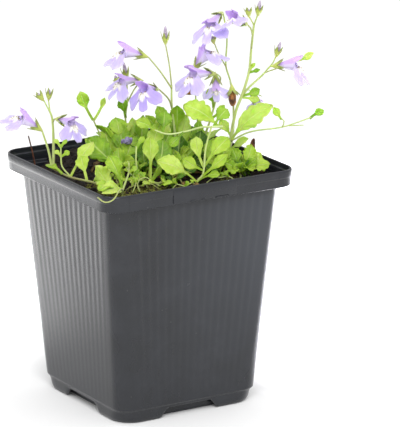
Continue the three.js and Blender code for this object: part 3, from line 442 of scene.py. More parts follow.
def lay(bm, columns, rows, place, thickness=0.0, paint=0, tone=0.5):
    """Lays a grid on the surface place(u, v), with u and v from 0 to 1, closes its seams and poles, and
    gives it its thickness. paint is the material's number, and tone the piece's own shade."""
    piece = new_part()
    uv = piece.loops.layers.uv["UVMap"]
    shade = piece.verts.layers.float["tone"]
    bmesh.ops.create_grid(piece, x_segments=columns, y_segments=rows, size=0.5)
    coat(piece, paint)
    for face in piece.faces:
        for loop in face.loops:
            loop[uv].uv = (loop.vert.co.x + 0.5, loop.vert.co.y + 0.5)
    for vert in piece.verts:
        vert[shade] = tone
        vert.co = place(vert.co.x + 0.5, vert.co.y + 0.5)
    bmesh.ops.remove_doubles(piece, verts=piece.verts, dist=0.003)
    bmesh.ops.recalc_face_normals(piece, faces=piece.faces)
    if thickness:
        thicken(piece, thickness)
    append(bm, piece)


def finish(bm, name, materials, nodes=(), turn=PLANT_TURN, sharp=None):
    """Makes the object from a bmesh in millimetres, in the plant's frame unless turn says otherwise.
    nodes are the CAD nodes that it takes the place of, and edges above sharp degrees stay sharp."""
    bm.transform(Matrix.Rotation(turn, 4, "Z") @ Matrix.Scale(MM, 4))
    mesh = bpy.data.meshes.new(name)
    bm.to_mesh(mesh)
    bm.free()
    for material in materials:
        mesh.materials.append(material)
    if sharp:
        mesh.set_sharp_from_angle(angle=math.radians(sharp))
    piece = bpy.data.objects.new(name, mesh)
    bpy.context.scene.collection.objects.link(piece)
    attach(piece, "root")
    if nodes:
        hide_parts(*nodes)


# Pot
def body_width_at(z):
    """The body's width outside, at a height between its foot and its band."""
    return FOOT_TOP_WIDTH + (BODY_WIDTH - FOOT_TOP_WIDTH) * (z - FOOT_HEIGHT) / (BAND_FOOT - FOOT_HEIGHT)


def pot_section():
    """The pot's wall in section, as (width, corner radius, height, rib share), once round from the rim
    of the flat pan in its base, out and up the outside, over the rim and down the inside."""
    skirt = BASE_WIDTH - 2.2 * WALL
    low = FOOT_HEIGHT + 2
    high = BAND_FOOT - 2
    floor = FLOOR_HEIGHT + WALL
    inner = BODY_CORNER - WALL
    rim_inner = RIM_CORNER - WALL
    mouth = RIM_WIDTH - 2 * WALL
    pan = PAN_WIDTH - 2 * WALL
    foot = [
        (PAN_WIDTH, inner, 0),
        (PAN_WIDTH, inner, FLOOR_HEIGHT),
        (skirt, BODY_CORNER, FLOOR_HEIGHT),
        (skirt, FOOT_CORNER - WALL, NOTCH_HEIGHT / 2),
        (skirt, FOOT_CORNER - WALL, 0),
        (BASE_WIDTH - 0.8, FOOT_CORNER, 0),
        (BASE_WIDTH, FOOT_CORNER - 0.6, 1.4),
        (BASE_WIDTH + 0.4, (BODY_CORNER + FOOT_CORNER) / 2, NOTCH_HEIGHT),
        (BASE_WIDTH + 0.6, BODY_CORNER + 0.6, FOOT_HEIGHT - 0.4),
        (FOOT_TOP_WIDTH, BODY_CORNER, FOOT_HEIGHT),
        (body_width_at(low - 1), BODY_CORNER, low - 1),
    ]
    walls = [(body_width_at(z), BODY_CORNER, z) for z in (low + 1, 20, 35, 50, 65, 80, high - 1)]
    band = [
        (body_width_at(high + 1), BODY_CORNER, high + 1),
        (BODY_WIDTH, BODY_CORNER, BAND_FOOT),
        (RIM_WIDTH - 0.7, RIM_CORNER, BAND_FOOT),
        (RIM_WIDTH - 0.4, RIM_CORNER, POT_HEIGHT - 3.2),
        (RIM_WIDTH - 0.1, RIM_CORNER, POT_HEIGHT - 3),
        (RIM_WIDTH, RIM_CORNER, POT_HEIGHT - 0.6),
        (RIM_WIDTH - 0.5, RIM_CORNER, POT_HEIGHT),
        (mouth, rim_inner, POT_HEIGHT),
        (mouth - 0.1, rim_inner, POT_HEIGHT - 2.2),
        (mouth - 0.9, rim_inner, POT_HEIGHT - 2.5),
        (mouth - 1, rim_inner, BAND_FOOT + WALL),
        (BODY_WIDTH - 2 * WALL, inner, BAND_FOOT + WALL),
    ]
    inside = [
        (body_width_at(60) - 2 * WALL, inner, 60),
        (body_width_at(floor) - 2 * WALL, inner, floor),
        (pan, inner - WALL, floor),
        (pan, inner - WALL, WALL),
        (pan, inner - WALL, 0),
        (PAN_WIDTH, inner, 0),
    ]
    ribbed = [(*row, 1) for row in walls]
    return [(*row, 0) for row in foot] + ribbed + [(*row, 0) for row in band + inside]


def softened(section, reach=0.22, most=0.35):
    """The section with each of its corners cut back by reach, or by most of the way to the next one as
    a share, so that the edges catch the light."""
    rows = [section[0]]
    for before, corner, after in zip(section, section[1:], section[2:]):
        for other in (before, after):
            span = math.hypot((other[0] - corner[0]) / 2, other[2] - corner[2])
            share = min(most, reach / max(span, reach))
            rows.append(tuple(c + (o - c) * share for c, o in zip(corner, other)))
    return rows + [section[-1]]


def pot_point(width, corner, z, rib, column):
    """The point of a rounded square in one column: a side with its ribs, then the corner after it."""
    side, step = divmod(column, SIDE_STEPS + CORNER_STEPS)
    half = width / 2
    straight = half - corner
    if step <= SIDE_STEPS:
        ribbed = straight - RIB_MARGIN
        k = step - 2
        margin = RIB_MARGIN / 2 * min(step, SIDE_STEPS - step)
        if k < 0:
            x, lift = margin - straight, 0
        elif k > RIBS_PER_SIDE * RIB_STEPS:
            x, lift = straight - margin, 0
        else:
            pitch = 2 * ribbed / (RIBS_PER_SIDE - 1)
            x = -ribbed - pitch / 2 + pitch * k / RIB_STEPS
            grown = clamped((z - RIB_FADE_FOOT) / (RIB_FADE_TOP - RIB_FADE_FOOT))
            fade = RIB_FAINTEST + (1 - RIB_FAINTEST) * grown
            lift = RIB_RELIEF[side] * rib * fade * (0.5 - 0.5 * math.cos(2 * math.pi * k / RIB_STEPS))
        point = Vector((x, -half - lift, z))
    else:
        angle = math.pi / 2 * ((step - SIDE_STEPS) / CORNER_STEPS - 1)
        point = Vector((straight + corner * math.cos(angle), -straight + corner * math.sin(angle), z))
    return Matrix.Rotation(side * math.pi / 2, 3, "Z") @ point


def pan_plate(bm):
    """The flat middle of the base, which stands on the surface, with its four drainage holes."""
    cells = 36
    piece = new_part()
    size = PAN_WIDTH / 2 - 1.2 * WALL
    bmesh.ops.create_grid(piece, x_segments=cells, y_segments=cells, size=size)
    holes = [Vector((x * DRAIN_OFFSET, y * DRAIN_OFFSET, 0)) for x in (-1, 1) for y in (-1, 1)]
    inside = []
    for face in piece.faces:
        if any((face.calc_center_median() - hole).length < DRAIN_RADIUS * 0.85 for hole in holes):
            inside.append(face)
    bmesh.ops.delete(piece, geom=inside, context="FACES")
    for vert in piece.verts:
        for hole in holes:
            away = vert.co - hole
            if away.length < DRAIN_RADIUS + 0.5:
                vert.co = hole + away.normalized() * DRAIN_RADIUS
    bmesh.ops.solidify(piece, geom=piece.faces[:], thickness=-WALL)
    append(bm, piece)


def box(piece, centre, size):
    """Adds a box to a bmesh."""
    bmesh.ops.create_cube(piece, size=1, matrix=Matrix.Translation(centre) @ Matrix.Diagonal((*size, 1)))


def rim_plate(bm):
    """The plain raised plate on the side that faces -Y, with three small lugs along its foot."""
    foot = BAND_FOOT + (BAND_HEIGHT - PLATE_HEIGHT) / 2
    sunk = 0.7
    piece = new_part()
    centre = (0, -RIM_WIDTH / 2 + sunk - PLATE_DEPTH, foot + PLATE_HEIGHT / 2)
    box(piece, centre, (PLATE_WIDTH, 2 * sunk, PLATE_HEIGHT))
    bmesh.ops.bevel(
        piece, geom=piece.edges[:], offset=0.25, segments=2, profile=0.5, affect="EDGES", material=-1
    )
    for x, wide in LUGS:
        box(piece, (x, -RIM_WIDTH / 2, foot + 0.05), (wide, 0.7, 0.5))
    append(bm, piece)


def notch_rise(point):
    """How high the notch in the middle of each side lifts the foot's lower edge."""
    along = min(abs(point.x), abs(point.y))
    return NOTCH_HEIGHT * eased(0.5 + (NOTCH_WIDTH / 2 - along) / NOTCH_SLOPE)


def make_pot():
    """The pot: one skin of walls, rim and foot, with the middle of its base and the rim's plate."""
    rows = softened(pot_section())
    columns = 4 * (SIDE_STEPS + CORNER_STEPS)
    piece = new_part()
    bmesh.ops.create_grid(piece, x_segments=columns, y_segments=len(rows) - 1, size=0.5)
    for vert in piece.verts:
        column = round((vert.co.x + 0.5) * columns) % columns
        row = round((vert.co.y + 0.5) * (len(rows) - 1))
        vert.co = pot_point(*rows[row], column)
        if max(abs(vert.co.x), abs(vert.co.y)) > PAN_WIDTH / 2 + WALL:
            vert.co.z += notch_rise(vert.co) * max(0, 1 - vert.co.z / FLOOR_HEIGHT)
    bmesh.ops.remove_doubles(piece, verts=piece.verts, dist=0.002)
    bmesh.ops.recalc_face_normals(piece, faces=piece.faces)
    coat(piece)
    pot = new_part()
    append(pot, piece)
    pan_plate(pot)
    rim_plate(pot)
    finish(pot, "nursery_pot", [POT_PLASTIC], ["pot"], turn=0, sharp=38)


# Soil
def soil_height(x, y):
    """The soil's height before its small lumps: low in two opposite corners, with a mound beside one."""
    z = SOIL_TOP + 0.3 * math.sin(0.52 * x + 1.1) * math.cos(0.47 * y)
    z += 0.2 * math.sin(0.83 * y - 0.4 * x + 0.6)
    for cx, cy, reach, rise in SOIL_RISES:
        z += rise * math.exp(-((x - cx) ** 2 + (y - cy) ** 2) / reach**2)
    return z


def held(x, y, z, reach):
    """A point drawn in to a rounded square that reaches as far as reach from the pot's axis."""
    edge = max(abs(x), abs(y))
    if edge > reach:
        x, y = x * reach / edge, y * reach / edge
    corner = BODY_CORNER - WALL
    over = Vector((abs(x) - reach + corner, abs(y) - reach + corner))
    if over.x > 0 and over.y > 0 and over.length > corner:
        over *= corner / over.length
        x = math.copysign(reach - corner + over.x, x)
        y = math.copysign(reach - corner + over.y, y)
    return Vector((x, y, z))


def soil_surface(x, y):
    """The soil's top under a point, with its small lumps, held inside the pot's wall."""
    grain = noise.noise(Vector((x, y, 0)) * 0.45) * 0.9 + noise.noise(Vector((x, y, 7)) * 1.3) * 0.6
    z = soil_height(x, y) + grain
    return held(x, y, z, SOIL_REACH if z > BAND_FOOT + WALL + 0.5 else SHELF_REACH)


def make_soil():
    """The soil: its lumpy top, its sides down inside the walls to a flat bottom, and loose crumbs."""
    random.seed(41)
    soil = new_part()
    shade = soil.verts.layers.float["tone"]
    bmesh.ops.create_grid(soil, x_segments=SOIL_CELLS, y_segments=SOIL_CELLS, size=SOIL_REACH)
    for vert in soil.verts:
        vert.co = soil_surface(vert.co.x, vert.co.y)
        vert[shade] = 0.7
    rim = [edge for edge in soil.edges if edge.is_boundary]
    ledge = BAND_FOOT + WALL + 0.3
    steps = [(ledge, SOIL_REACH), (ledge, SHELF_REACH), (BAND_FOOT, SHELF_REACH)]
    steps.append((SOIL_FLOOR, body_width_at(SOIL_FLOOR) / 2 - WALL - 0.4))
    for z, reach in steps:
        grown = bmesh.ops.extrude_edge_only(soil, edges=rim)["geom"]
        for vert in (item for item in grown if isinstance(item, bmesh.types.BMVert)):
            level = min(z, vert.co.z)
            room = reach if level > ledge - 0.01 else min(reach, SHELF_REACH)
            spread = room / max(abs(vert.co.x), abs(vert.co.y))
            vert.co = held(vert.co.x * spread, vert.co.y * spread, level, room)
            vert[shade] = 0.4
        rim = [item for item in grown if isinstance(item, bmesh.types.BMEdge)]
    bmesh.ops.contextual_create(soil, geom=rim)
    bmesh.ops.dissolve_degenerate(soil, dist=0.001, edges=soil.edges)
    coat(soil)
    crumbs = new_part()
    shade = crumbs.verts.layers.float["tone"]
    for _ in range(SOIL_CRUMBS):
        x, y = (random.uniform(-CRUMB_REACH, CRUMB_REACH) for _ in range(2))
        size = 0.35 + 0.9 * random.random() ** 2.5
        squash = Vector((random.uniform(0.7, 1.5), random.uniform(0.7, 1.3), random.uniform(0.5, 0.9)))
        turn = Matrix.Rotation(random.uniform(0, math.pi), 4, "Z") @ Matrix.Diagonal(squash).to_4x4()
        move = Matrix.Translation(soil_surface(x, y) + UP * size * 0.25)
        made = bmesh.ops.create_icosphere(crumbs, subdivisions=1, radius=size, matrix=move @ turn)
        tone = random.uniform(0.35, 1.25)
        for vert in made["verts"]:
            vert[shade] = tone
    append(soil, crumbs)
    finish(soil, "potting_soil", [SOIL], ["soil"], turn=0)


# Stems
def smooth_path(points, step=1.3):
    """Points along a smooth curve through the given ones."""
    knots = [Vector(p) for p in points]
    aims = [(b - a).normalized() for a, b in zip(knots[:1] + knots[:-1], knots[1:] + knots[-1:])]
    path = knots[:1]
    for a, b, aim_a, aim_b in zip(knots, knots[1:], aims, aims[1:]):
        reach = (b - a).length / 3
        count = max(3, round((b - a).length / step) + 1)
        path += interpolate_bezier(a, a + aim_a * reach, b - aim_b * reach, b, count)[1:]
    return path


def standing(centre, aim):
    """The move that takes an upright shape to a centre and leans it along aim."""
    return Matrix.Translation(centre) @ UP.rotation_difference(aim).to_matrix().to_4x4()


def hair(fuzz, spot, aim, length):
    """A fine hair: a thin three-sided cone that stands on spot."""
    move = standing(spot + aim * (length / 2), aim)
    bmesh.ops.create_cone(
        fuzz, cap_ends=True, segments=3, radius1=0.03, radius2=0.008, depth=length, matrix=move
    )


def stem(bm, radius, *points, tone=0.45, hairy=False):
    """A round stem along a smooth curve, with flat ends, a little thinner at its tip. Thin stems are
    finer than their solids."""
    path = smooth_path(points)
    last = len(path) - 1
    thick = radius * (STEM_FINENESS + STEM_SWELL * radius)
    aims = [(path[min(i + 1, last)] - path[max(i - 1, 0)]).normalized() for i in range(last + 1)]
    side = aims[0].orthogonal().normalized()
    sides = []
    for aim in aims:
        side = (side - aim * side.dot(aim)).normalized()
        sides.append(side)

    def place(u, v):
        row = round(v * (last + 2))
        i = min(max(row - 1, 0), last)
        size = thick * (1 - STEM_TAPER * radius * i / last) * (0 < row < last + 2)
        spoke = Matrix.Rotation(2 * math.pi * u, 3, aims[i]) @ sides[i]
        return path[i] + spoke * size

    lay(bm, 8, last + 2, place, paint=1, tone=tone)
    if hairy:
        fuzz = new_part()
        for i in range(1, last):
            for _ in range(2):
                aim = Matrix.Rotation(random.uniform(0, 2 * math.pi), 3, aims[i]) @ sides[i]
                hair(fuzz, path[i] + aim * (thick * 0.8), aim, random.uniform(0.3, 0.6))
        coat(fuzz, 1, smooth=False)
        append(bm, fuzz)


def root(bm, x, y, top=98.5, radius=0.9):
    """A short upright stem, from inside the soil to the foot of a crown."""
    stem(bm, radius, (x, y, ROOT_BOTTOM), (x, y, (ROOT_BOTTOM + top) / 2), (x, y, top), tone=0.3)


def flower_stalk(bm, radius, *points):
    """A flower's hairy stalk."""
    stem(bm, radius, *points, tone=0.3, hairy=True)


# Leaves, and the ways that their upper sides face
FRONT = (0, -1, 0.3)
SLANT = (0, -0.8, 0.6)
SKY = (0, -0.2, 1)


def leaf(bm, start, tip, width, face, bow=1.5, stalk=0.28, tone=None, crinkle=1, hidden=False):
    """A leaf from its root to its tip: a narrow winged stalk, then a toothed blade, broadest beyond its
    middle. face is the side that it shows, bow how far its middle rises, and crinkle how rough it is.
    A leaf that the others mostly hide has a coarser mesh."""
    start = Vector(start)
    length = Vector(tip) - start
    size = length.length
    along = length.normalized()
    normal = Vector(face)
    normal = (normal - along * normal.dot(along)).normalized()
    side = along.cross(normal)
    broad = width > 3.5
    teeth = random.uniform(4.6, 6.4) if broad else 3.5
    depth = random.uniform(0.09, 0.18) * (1 if broad else 0.6)
    sway, sweep = random.uniform(0, 2 * math.pi), random.uniform(-0.07, 0.07)
    twist = random.uniform(-0.5, 0.5)
    curl = random.uniform(0.3, 1.3) * LEAF_FOLD
    if tone is None:
        tone = random.uniform(0.15, 0.62)

    def place(u, v):
        s = 2 * u - 1
        t = 1 - (1 - v) ** 1.25
        q = max(0.0, (t - stalk) / (1 - stalk))
        swell = max(0.0, math.sin(math.pi * q**1.35))
        blade = width / 2 * swell ** (1.1 if q**1.35 < 0.5 else 0.75)
        petiole = 0.5 * (1 - 0.8 * q)
        half = (blade**3 + petiole**3) ** (1 / 3)
        from_stalk = min(1, q * 3)
        saw = (q * teeth + 0.13 * math.sin(sway + 4 * s)) % 1
        tooth = depth * crinkle * (math.sin(math.pi * saw) ** 0.7 - 0.5) * abs(s) ** 4 * from_stalk
        across = s * half * (1 + tooth + 0.07 * math.sin(5 * q + sway) * abs(s))
        rise = curl * half * abs(s) ** 1.3
        fold = math.sin(2 * math.pi * (LEAF_VEINS * t - 1.6 * abs(s))) * abs(s)
        quilt = 0.025 * crinkle * width * fold * from_stalk
        wave = 0.06 * crinkle * width * math.sin(9 * q + sway + s) * s * s * from_stalk
        lift = bow * 4 * t * (1 - t) + (rise + quilt + wave) * math.cos(twist * q)
        lift += across * math.sin(twist * q)
        across = across * math.cos(twist * q) + sweep * size * 4 * t * (1 - t)
        return start + along * (size * t) + side * across + normal * lift

    columns, rows = (8, 20) if hidden else (12, 42) if broad else (6, 18)
    lay(bm, columns, rows, place, LEAF_THICKNESS, paint=0, tone=tone)


# Calyces, buds and flowers
def axes_of(direction, back):
    """Three axes at right angles: z along direction, y as near back as it can be, and x across."""
    z = Vector(direction).normalized()
    y = Vector(back)
    y = (y - z * y.dot(z)).normalized()
    return y.cross(z), y, z


def around(base, axes, turn, wide, high, z=0.0):
    """A point of an oval round the third of the axes, at a height along it. turn is from 0 to 1."""
    x_axis, y_axis, z_axis = axes
    angle = 2 * math.pi * turn
    return base + x_axis * wide * math.cos(angle) + y_axis * high * math.sin(angle) + z_axis * z


def calyx(bm, base, direction, back, spread=2.9, reach=5.6):
    """A hairy cup that widens from its stalk and whose rim rises into five narrow pointed lobes that
    lean outwards, with a gap between two of them at back."""
    base = Vector(base)
    axes = axes_of(direction, back)
    rim = CUP_RADIUS + 0.15

    def place(u, v):
        lobe = 1 - 2 * abs((u * 5 - 1.25) % 1 - 0.5)
        cup = min(1, v / CUP_SHARE)
        w = max(0.0, (v - CUP_SHARE) / (1 - CUP_SHARE))
        radius = rim * (0.35 + 0.65 * cup) * math.sin(math.pi / 2 * cup) ** 0.6
        z = -0.4 + (CUP_LENGTH + 0.4) * cup
        radius += (spread - rim) * lobe * w**1.4
        z += (reach - CUP_LENGTH) * lobe * w
        return around(base, axes, u, radius, radius, z)

    lay(bm, 40, 12, place, 0.18, paint=2)
    fuzz = new_part()
    for _ in range(CALYX_HAIRS):
        u, v = random.random(), random.uniform(0.12, 0.95)
        out = around(Vector(), axes, u, 1, 1).normalized()
        aim = (out + axes[2] * 0.3).normalized()
        hair(fuzz, place(u, v) - out * 0.05, aim, random.uniform(0.3, 0.55))
    coat(fuzz, 2, smooth=False)
    append(bm, fuzz)


BUD_BACK = (0.3, -1, 0.2)  # the side on which a bud's calyx has a gap between two lobes


def bud(bm, base, direction, size=1, petals=1):
    """A closed bud: a calyx with upright lobes, and the folded petals between them, which stand out of
    a ripe bud and stay inside a green one."""
    base = Vector(base)
    axes = axes_of(direction, BUD_BACK)

    def place(u, v):
        if v < BELLY_SHARE:
            radius = 0.45 + 0.35 * math.sin(math.pi / 2 * v / BELLY_SHARE)
        else:
            radius = 0.22 + 0.58 * math.cos(math.pi / 2 * (v - BELLY_SHARE) / (1 - BELLY_SHARE))
        radius *= (1 + 0.12 * math.cos(6 * math.pi * u)) * (0 < v < 1)
        return around(base, axes, u, radius, radius, 0.2 + (8 * size * petals - 0.2) * v)

    lay(bm, 12, 12, place, paint=3)
    calyx(bm, base, direction, BUD_BACK, 1.3 + 0.6 * size, 5.6 * size)


def lobe_shape(u):
    """How far the lower lip's lobes reach, up to 1, at u from -1 to 1 across them: a middle lobe and a
    broader one on each side."""
    out = abs(u)
    if out < LOBE_NOTCH:
        return 0.9 * math.sqrt(math.cos(math.pi * out / (2 * LOBE_NOTCH)))
    return math.sqrt(max(0.0, math.sin(math.pi * (out - LOBE_NOTCH) / (1 - LOBE_NOTCH))))


def flower(base, direction, back, droop=66, size=1, funnel=1, depth=0.15):
    """A flower's places: base is its calyx, back the side of its upper lip, droop the angle by which
    its lower lip bends away from the tube, funnel how deep the tube's mouth is, and depth how deep its
    colour is."""
    return dict(
        base=base, direction=direction, back=back, droop=droop, size=size, funnel=funnel, depth=depth
    )


def make_corolla(name, places):
    """One open flower: a tube that widens into a three-lobed lower lip with a ridged palate, and a
    shorter upper lip of two lobes, all in one sheet that parts where the lips do."""
    size = places["size"]
    base = Vector(places["base"])
    x_axis, y_axis, z_axis = axes_of(places["direction"], places["back"])
    bend = math.radians(places["droop"])
    forward = z_axis * math.cos(bend) - y_axis * math.sin(bend)
    normal = y_axis * math.cos(bend) + z_axis * math.sin(bend)
    throat = base - y_axis * (0.6 * size) + z_axis * ((TUBE_LENGTH - 1) * size)
    mouth_height = (TUBE_LENGTH - 0.6) * size
    sway = random.uniform(0, 2 * math.pi)

    def ring(turn, w):
        """The tube, from inside the calyx to the mouth."""
        z = TUBE_START + (mouth_height - TUBE_START) * w
        wide = TUBE_FOOT + (MOUTH_WIDE * size - TUBE_FOOT) * w**1.4
        high = TUBE_FOOT + (MOUTH_HIGH * size * places["funnel"] - TUBE_FOOT) * w**1.4
        if w == 0:
            wide = high = 0
        middle = base + z_axis * z - y_axis * (0.5 * size * w * w)
        return middle + x_axis * wide * math.sin(turn) - y_axis * high * math.cos(turn)

    def lower_lip(u, w, lift=0.0):
        """The lower lip, with u from -1 to 1 across it and w from 0 to 1 outwards."""
        parted = min(1, (1 - abs(u)) / 0.09) ** 0.5
        frill = 1 + w * (0.025 * math.sin(17 * u + sway) + 0.02 * math.sin(37 * u + 2 * sway))
        reach = LIP_REACH * (0.36 + 0.64 * lobe_shape(u)) * parted * frill
        radius = size * (LIP_ROOT + max(0, reach - LIP_ROOT) * w)
        across = radius * math.sin(u * LIP_FAN)
        forwards = radius * math.cos(u * LIP_FAN)
        from_ridge = abs(across) / size - RIDGE_ASIDE
        ridge = RIDGE_HEIGHT * size * math.exp(-(from_ridge**2)) * math.sin(math.pi * min(1, 1.5 * w))
        sink = (0.02 * across**2 + 0.008 * forwards**2) / size
        ruffle = 0.45 * w**3 * math.sin(9 * u + sway) + 0.25 * w**3 * math.sin(21 * u + 2 * sway)
        return throat + x_axis * across + forward * forwards + normal * (ridge - sink + ruffle + lift)

    def upper_lip(u, w):
        """The upper lip, across and outwards as the lower one."""
        parted = min(1, (1 - abs(u)) / 0.18) ** 0.5
        reach = UPPER_LIP_REACH * size * (0.6 + 0.4 * abs(math.sin(math.pi * u))) - 4 * size
        across = u * size * (2.5 + 0.5 * w)
        back = (2 + 0.7 * w) * size - 0.18 * across**2 + 0.15 * w * math.sin(7 * u + sway)
        return base + x_axis * across + y_axis * back + z_axis * (mouth_height + reach * w * parted)

    def place(u, v):
        turn = (u - 0.5) * 2 * math.pi
        if v <= MOUTH:
            return ring(turn, v / MOUTH)
        w = (v - MOUTH) / (1 - MOUTH)
        share = abs(2 * u - 1)
        if share <= LIP_EDGE:
            spot = lower_lip((2 * u - 1) / LIP_EDGE, w)
        else:
            spot = upper_lip(math.copysign((1 - share) / (1 - LIP_EDGE), u - 0.5), w)
        mouth = ring(turn, 1)
        parted = min(1, abs(share - LIP_EDGE) / 0.03)
        return mouth.lerp(spot, eased(w / 0.3) * parted)

    bm = new_part()
    lay(bm, 72, 26, place, PETAL_THICKNESS * size, tone=places["depth"])
    hairs = new_part()
    for sign in (-1, 1):
        for k in range(PALATE_HAIRS):
            w = 0.1 + 0.045 * k
            aside = 1.15 - 0.05 * k + random.uniform(-0.25, 0.25)
            angle = sign * math.asin(min(1, aside / (LIP_ROOT + 7.5 * w))) / LIP_FAN
            move = Matrix.Translation(lower_lip(angle, w, 0.12))
            dot = random.uniform(0.14, 0.25) * size
            bmesh.ops.create_icosphere(hairs, subdivisions=1, radius=dot, matrix=move)
    coat(hairs, 1)
    append(bm, hairs)
    finish(bm, "lilac_flower_" + name, [PETAL, PALATE_HAIR], ["corolla_" + name])


FLOWERS = {
    "left": flower((-43.5, -9, 115.5), (-0.78, -0.1, 0.62), (0.2, -0.1, 1), 44, 1, 1.2),
    "left_rim": flower((-38.5, -4.5, 119.5), (0.76, -0.62, 0.02), (0.1, -0.1, 1), 54, 0.92, 1, 0.3),
    "left_top": flower((0, 8, 142.5), (-0.94, -0.1, 0.32), (0.3, 0, 0.95), 50, 1.08, 1.2),
    "middle_back": flower((-2.5, 21, 129.5), (-0.86, -0.45, 0.14), (0, -0.1, 1), 52),
    "middle": flower((4.5, -1, 131), (-0.64, -0.72, 0.26), (-0.2, 0.25, 1), 74, 1, 1, 0.6),
    "centre": flower((28, 8, 135.5), (-0.84, -0.52, 0.16), (0.2, 0.2, 1), 56, 1.15),
    "centre_right": flower((27.5, 13, 135), (0.06, -0.45, -0.89), (0, -0.89, 0.45), 12, 0.66, 1, 0),
    "upright": flower((18.5, 10, 136.5), (0.52, -0.05, 0.82), (-0.86, 0.1, 0.48), 70, 1, 1.6),
    "top_left": flower((30.5, 17.5, 159.6), (-0.46, -0.82, -0.3), (-0.3, 0, 1), 20, 1.05),
    "top": flower((41, 8, 156), (-0.62, -0.62, 0.48), (0, 0.6, 0.8), 42),
    "right": flower((50.5, 8.5, 138.5), (0.97, -0.1, 0.16), (0, 0, 1), 58, 1.05, 1.2),
    "right_low": flower((42, 14, 127), (0.5, 0.25, -0.8), (0.5, 0.7, 0.5), 40, 0.62),
}


def calyx_of(bm, name):
    """The calyx that an open flower stands in."""
    places = FLOWERS[name]
    calyx(bm, places["base"], places["direction"], places["back"])


# Shoots
def seeded(seed):
    """The same run of numbers from 0 to 1 as the part's source draws."""
    state = seed
    while True:
        state = state * 16807 % 2147483647
        yield state / 2147483647


def runner_left(bm):
    """The runner along the left rim, with the stems of two flowers and two buds."""
    root(bm, -17.5, -34, 98)
    stem(
        bm, 0.8, (-17.5, -34, 97), (-20, -33.5, 99.5), (-24, -31, 100), (-31.5, -23, 99.6),
        (-37, -15, 100), (-39.8, -10.5, 100.2), tone=0.2,
    )
    stem(bm, 0.8, (-39.5, -11, 100), (-41, -9.5, 107.5), (-43.5, -9, 115.5))
    stem(bm, 0.95, (-39, -11.5, 100), (-39, -6, 108.5), (-39.5, -4, 119.5), (-40.5, -4, 122.5))
    stem(bm, 0.55, (-40.4, -4, 122), (-43, -4, 127.5))
    stem(bm, 0.55, (-40.4, -4, 122), (-41, -3, 127))
    stem(bm, 0.6, (-31.5, -22, 99.6), (-35, -19, 103), (-35.5, -18, 107.5), (-35.5, -18, 111.5))
    leaf(bm, (-35.5, -18, 111), (-38, -18, 114.4), 1.8, FRONT, 0.3)
    leaf(bm, (-35.5, -18, 111), (-33, -18, 114), 1.8, FRONT, 0.3)
    leaf(bm, (-35.4, -18, 107), (-38, -18.5, 109.6), 2, FRONT, 0.3)
    leaf(bm, (-35.4, -18, 107), (-32, -18, 109.2), 2.2, FRONT, 0.3)
    leaf(bm, (-35, -19, 100), (-42, -8.5, 101.2), 3.6, (-0.3, -0.3, 1), 0.6)
    leaf(bm, (-31.5, -23, 99.8), (-22.5, -14, 112.2), 6.4, (-0.3, -0.9, 0.4), 1.4)
    leaf(bm, (-24.6, -30, 100.2), (-27.5, -21, 108), 6, FRONT, 1)
    bud(bm, (-43, -4, 127), (-0.6, 0, 0.8), 0.8, 0.6)
    bud(bm, (-41, -3, 126.6), (0.1, 0, 1), 0.95, 0.66)
    calyx_of(bm, "left")
    calyx_of(bm, "left_rim")
    stem(bm, 0.6, (-39.4, -4, 117.5), (-38.5, -4.5, 119.5))


def corner_shoot(bm):
    """The shoot at the near corner, with the stem that dips over the rim."""
    root(bm, -10, -38)
    leaf(bm, (-10, -37.6, 98), (-15.6, -34, 111.6), 6.2, FRONT, 0.8, 0.3, 0.3, 2.2)
    leaf(bm, (-11, -39, 97.4), (-20.6, -40, 108.6), 7.6, SLANT, -1.6, 0.2, 0.6, 2.4)
    leaf(bm, (-10, -38.4, 97.8), (-18.8, -57, 103.6), 6, SKY, 2.2, 0.28, 0.4, 2)
    leaf(bm, (-9.6, -39, 98), (-17.4, -56.5, 102.4), 7, (0.2, -0.8, 0.7), 2.4, 0.24, 0.68, 1.8)
    stem(
        bm, 0.55, (-10, -39, 98), (-10, -49, 101.6), (-11.2, -57, 102.8), (-13.2, -61.2, 100.6),
        (-16.4, -62, 99.8), (-19.4, -60.4, 101.4), tone=0.3,
    )
    stem(bm, 0.75, (-10, -38, 98), (-8.8, -36, 101), (-7.5, -34, 104.5), (-7.5, -34, 108.6))
    leaf(bm, (-8.4, -35.4, 101.6), (-12.4, -35.5, 104), 2.2, FRONT, 0.3)
    leaf(bm, (-8.2, -35, 101.8), (-3.4, -34.5, 103.4), 2.4, FRONT, 0.3)
    leaf(bm, (-7.6, -34, 104.4), (-4.4, -33.6, 107), 2, FRONT, 0.3)


def left_crown(bm):
    """The broad leaves of the left crown."""
    leaf(bm, (-10.6, -7, 98.4), (-25.2, 0, 110), 10, SLANT, 1.8, 0.16, 0.16, 1.8)
    stem(bm, 0.8, (-11.5, -6, ROOT_BOTTOM), (-11.5, -6, 97.5), (-12, 0, 103), (-12.3, 6, 107.6))
    leaf(bm, (-12.2, 5, 107), (-13.6, 9, 116.6), 7.4, FRONT, 0.8, 0.2, 0.36)
    leaf(bm, (-12.1, 2, 104.6), (-22.2, 7, 113.8), 4.2, (0.3, 0.4, 1), 1)
    leaf(bm, (-11.2, -5.5, 98.4), (-6, 2.5, 110.2), 9, SLANT, 1.5, 0.28, 0.24, 1.4)
    leaf(bm, (-12.3, 6, 107.4), (-8, 10, 114), 4.4, FRONT, 0.6)
    leaf(bm, (-11.5, -6, 97.8), (-20, -5, 103), 4.6, SKY, 1.4, 0.28, 0.05)
    leaf(bm, (-11.5, -6, 98), (-5.5, -14.5, 104.5), 5.2, SLANT, 1.2)


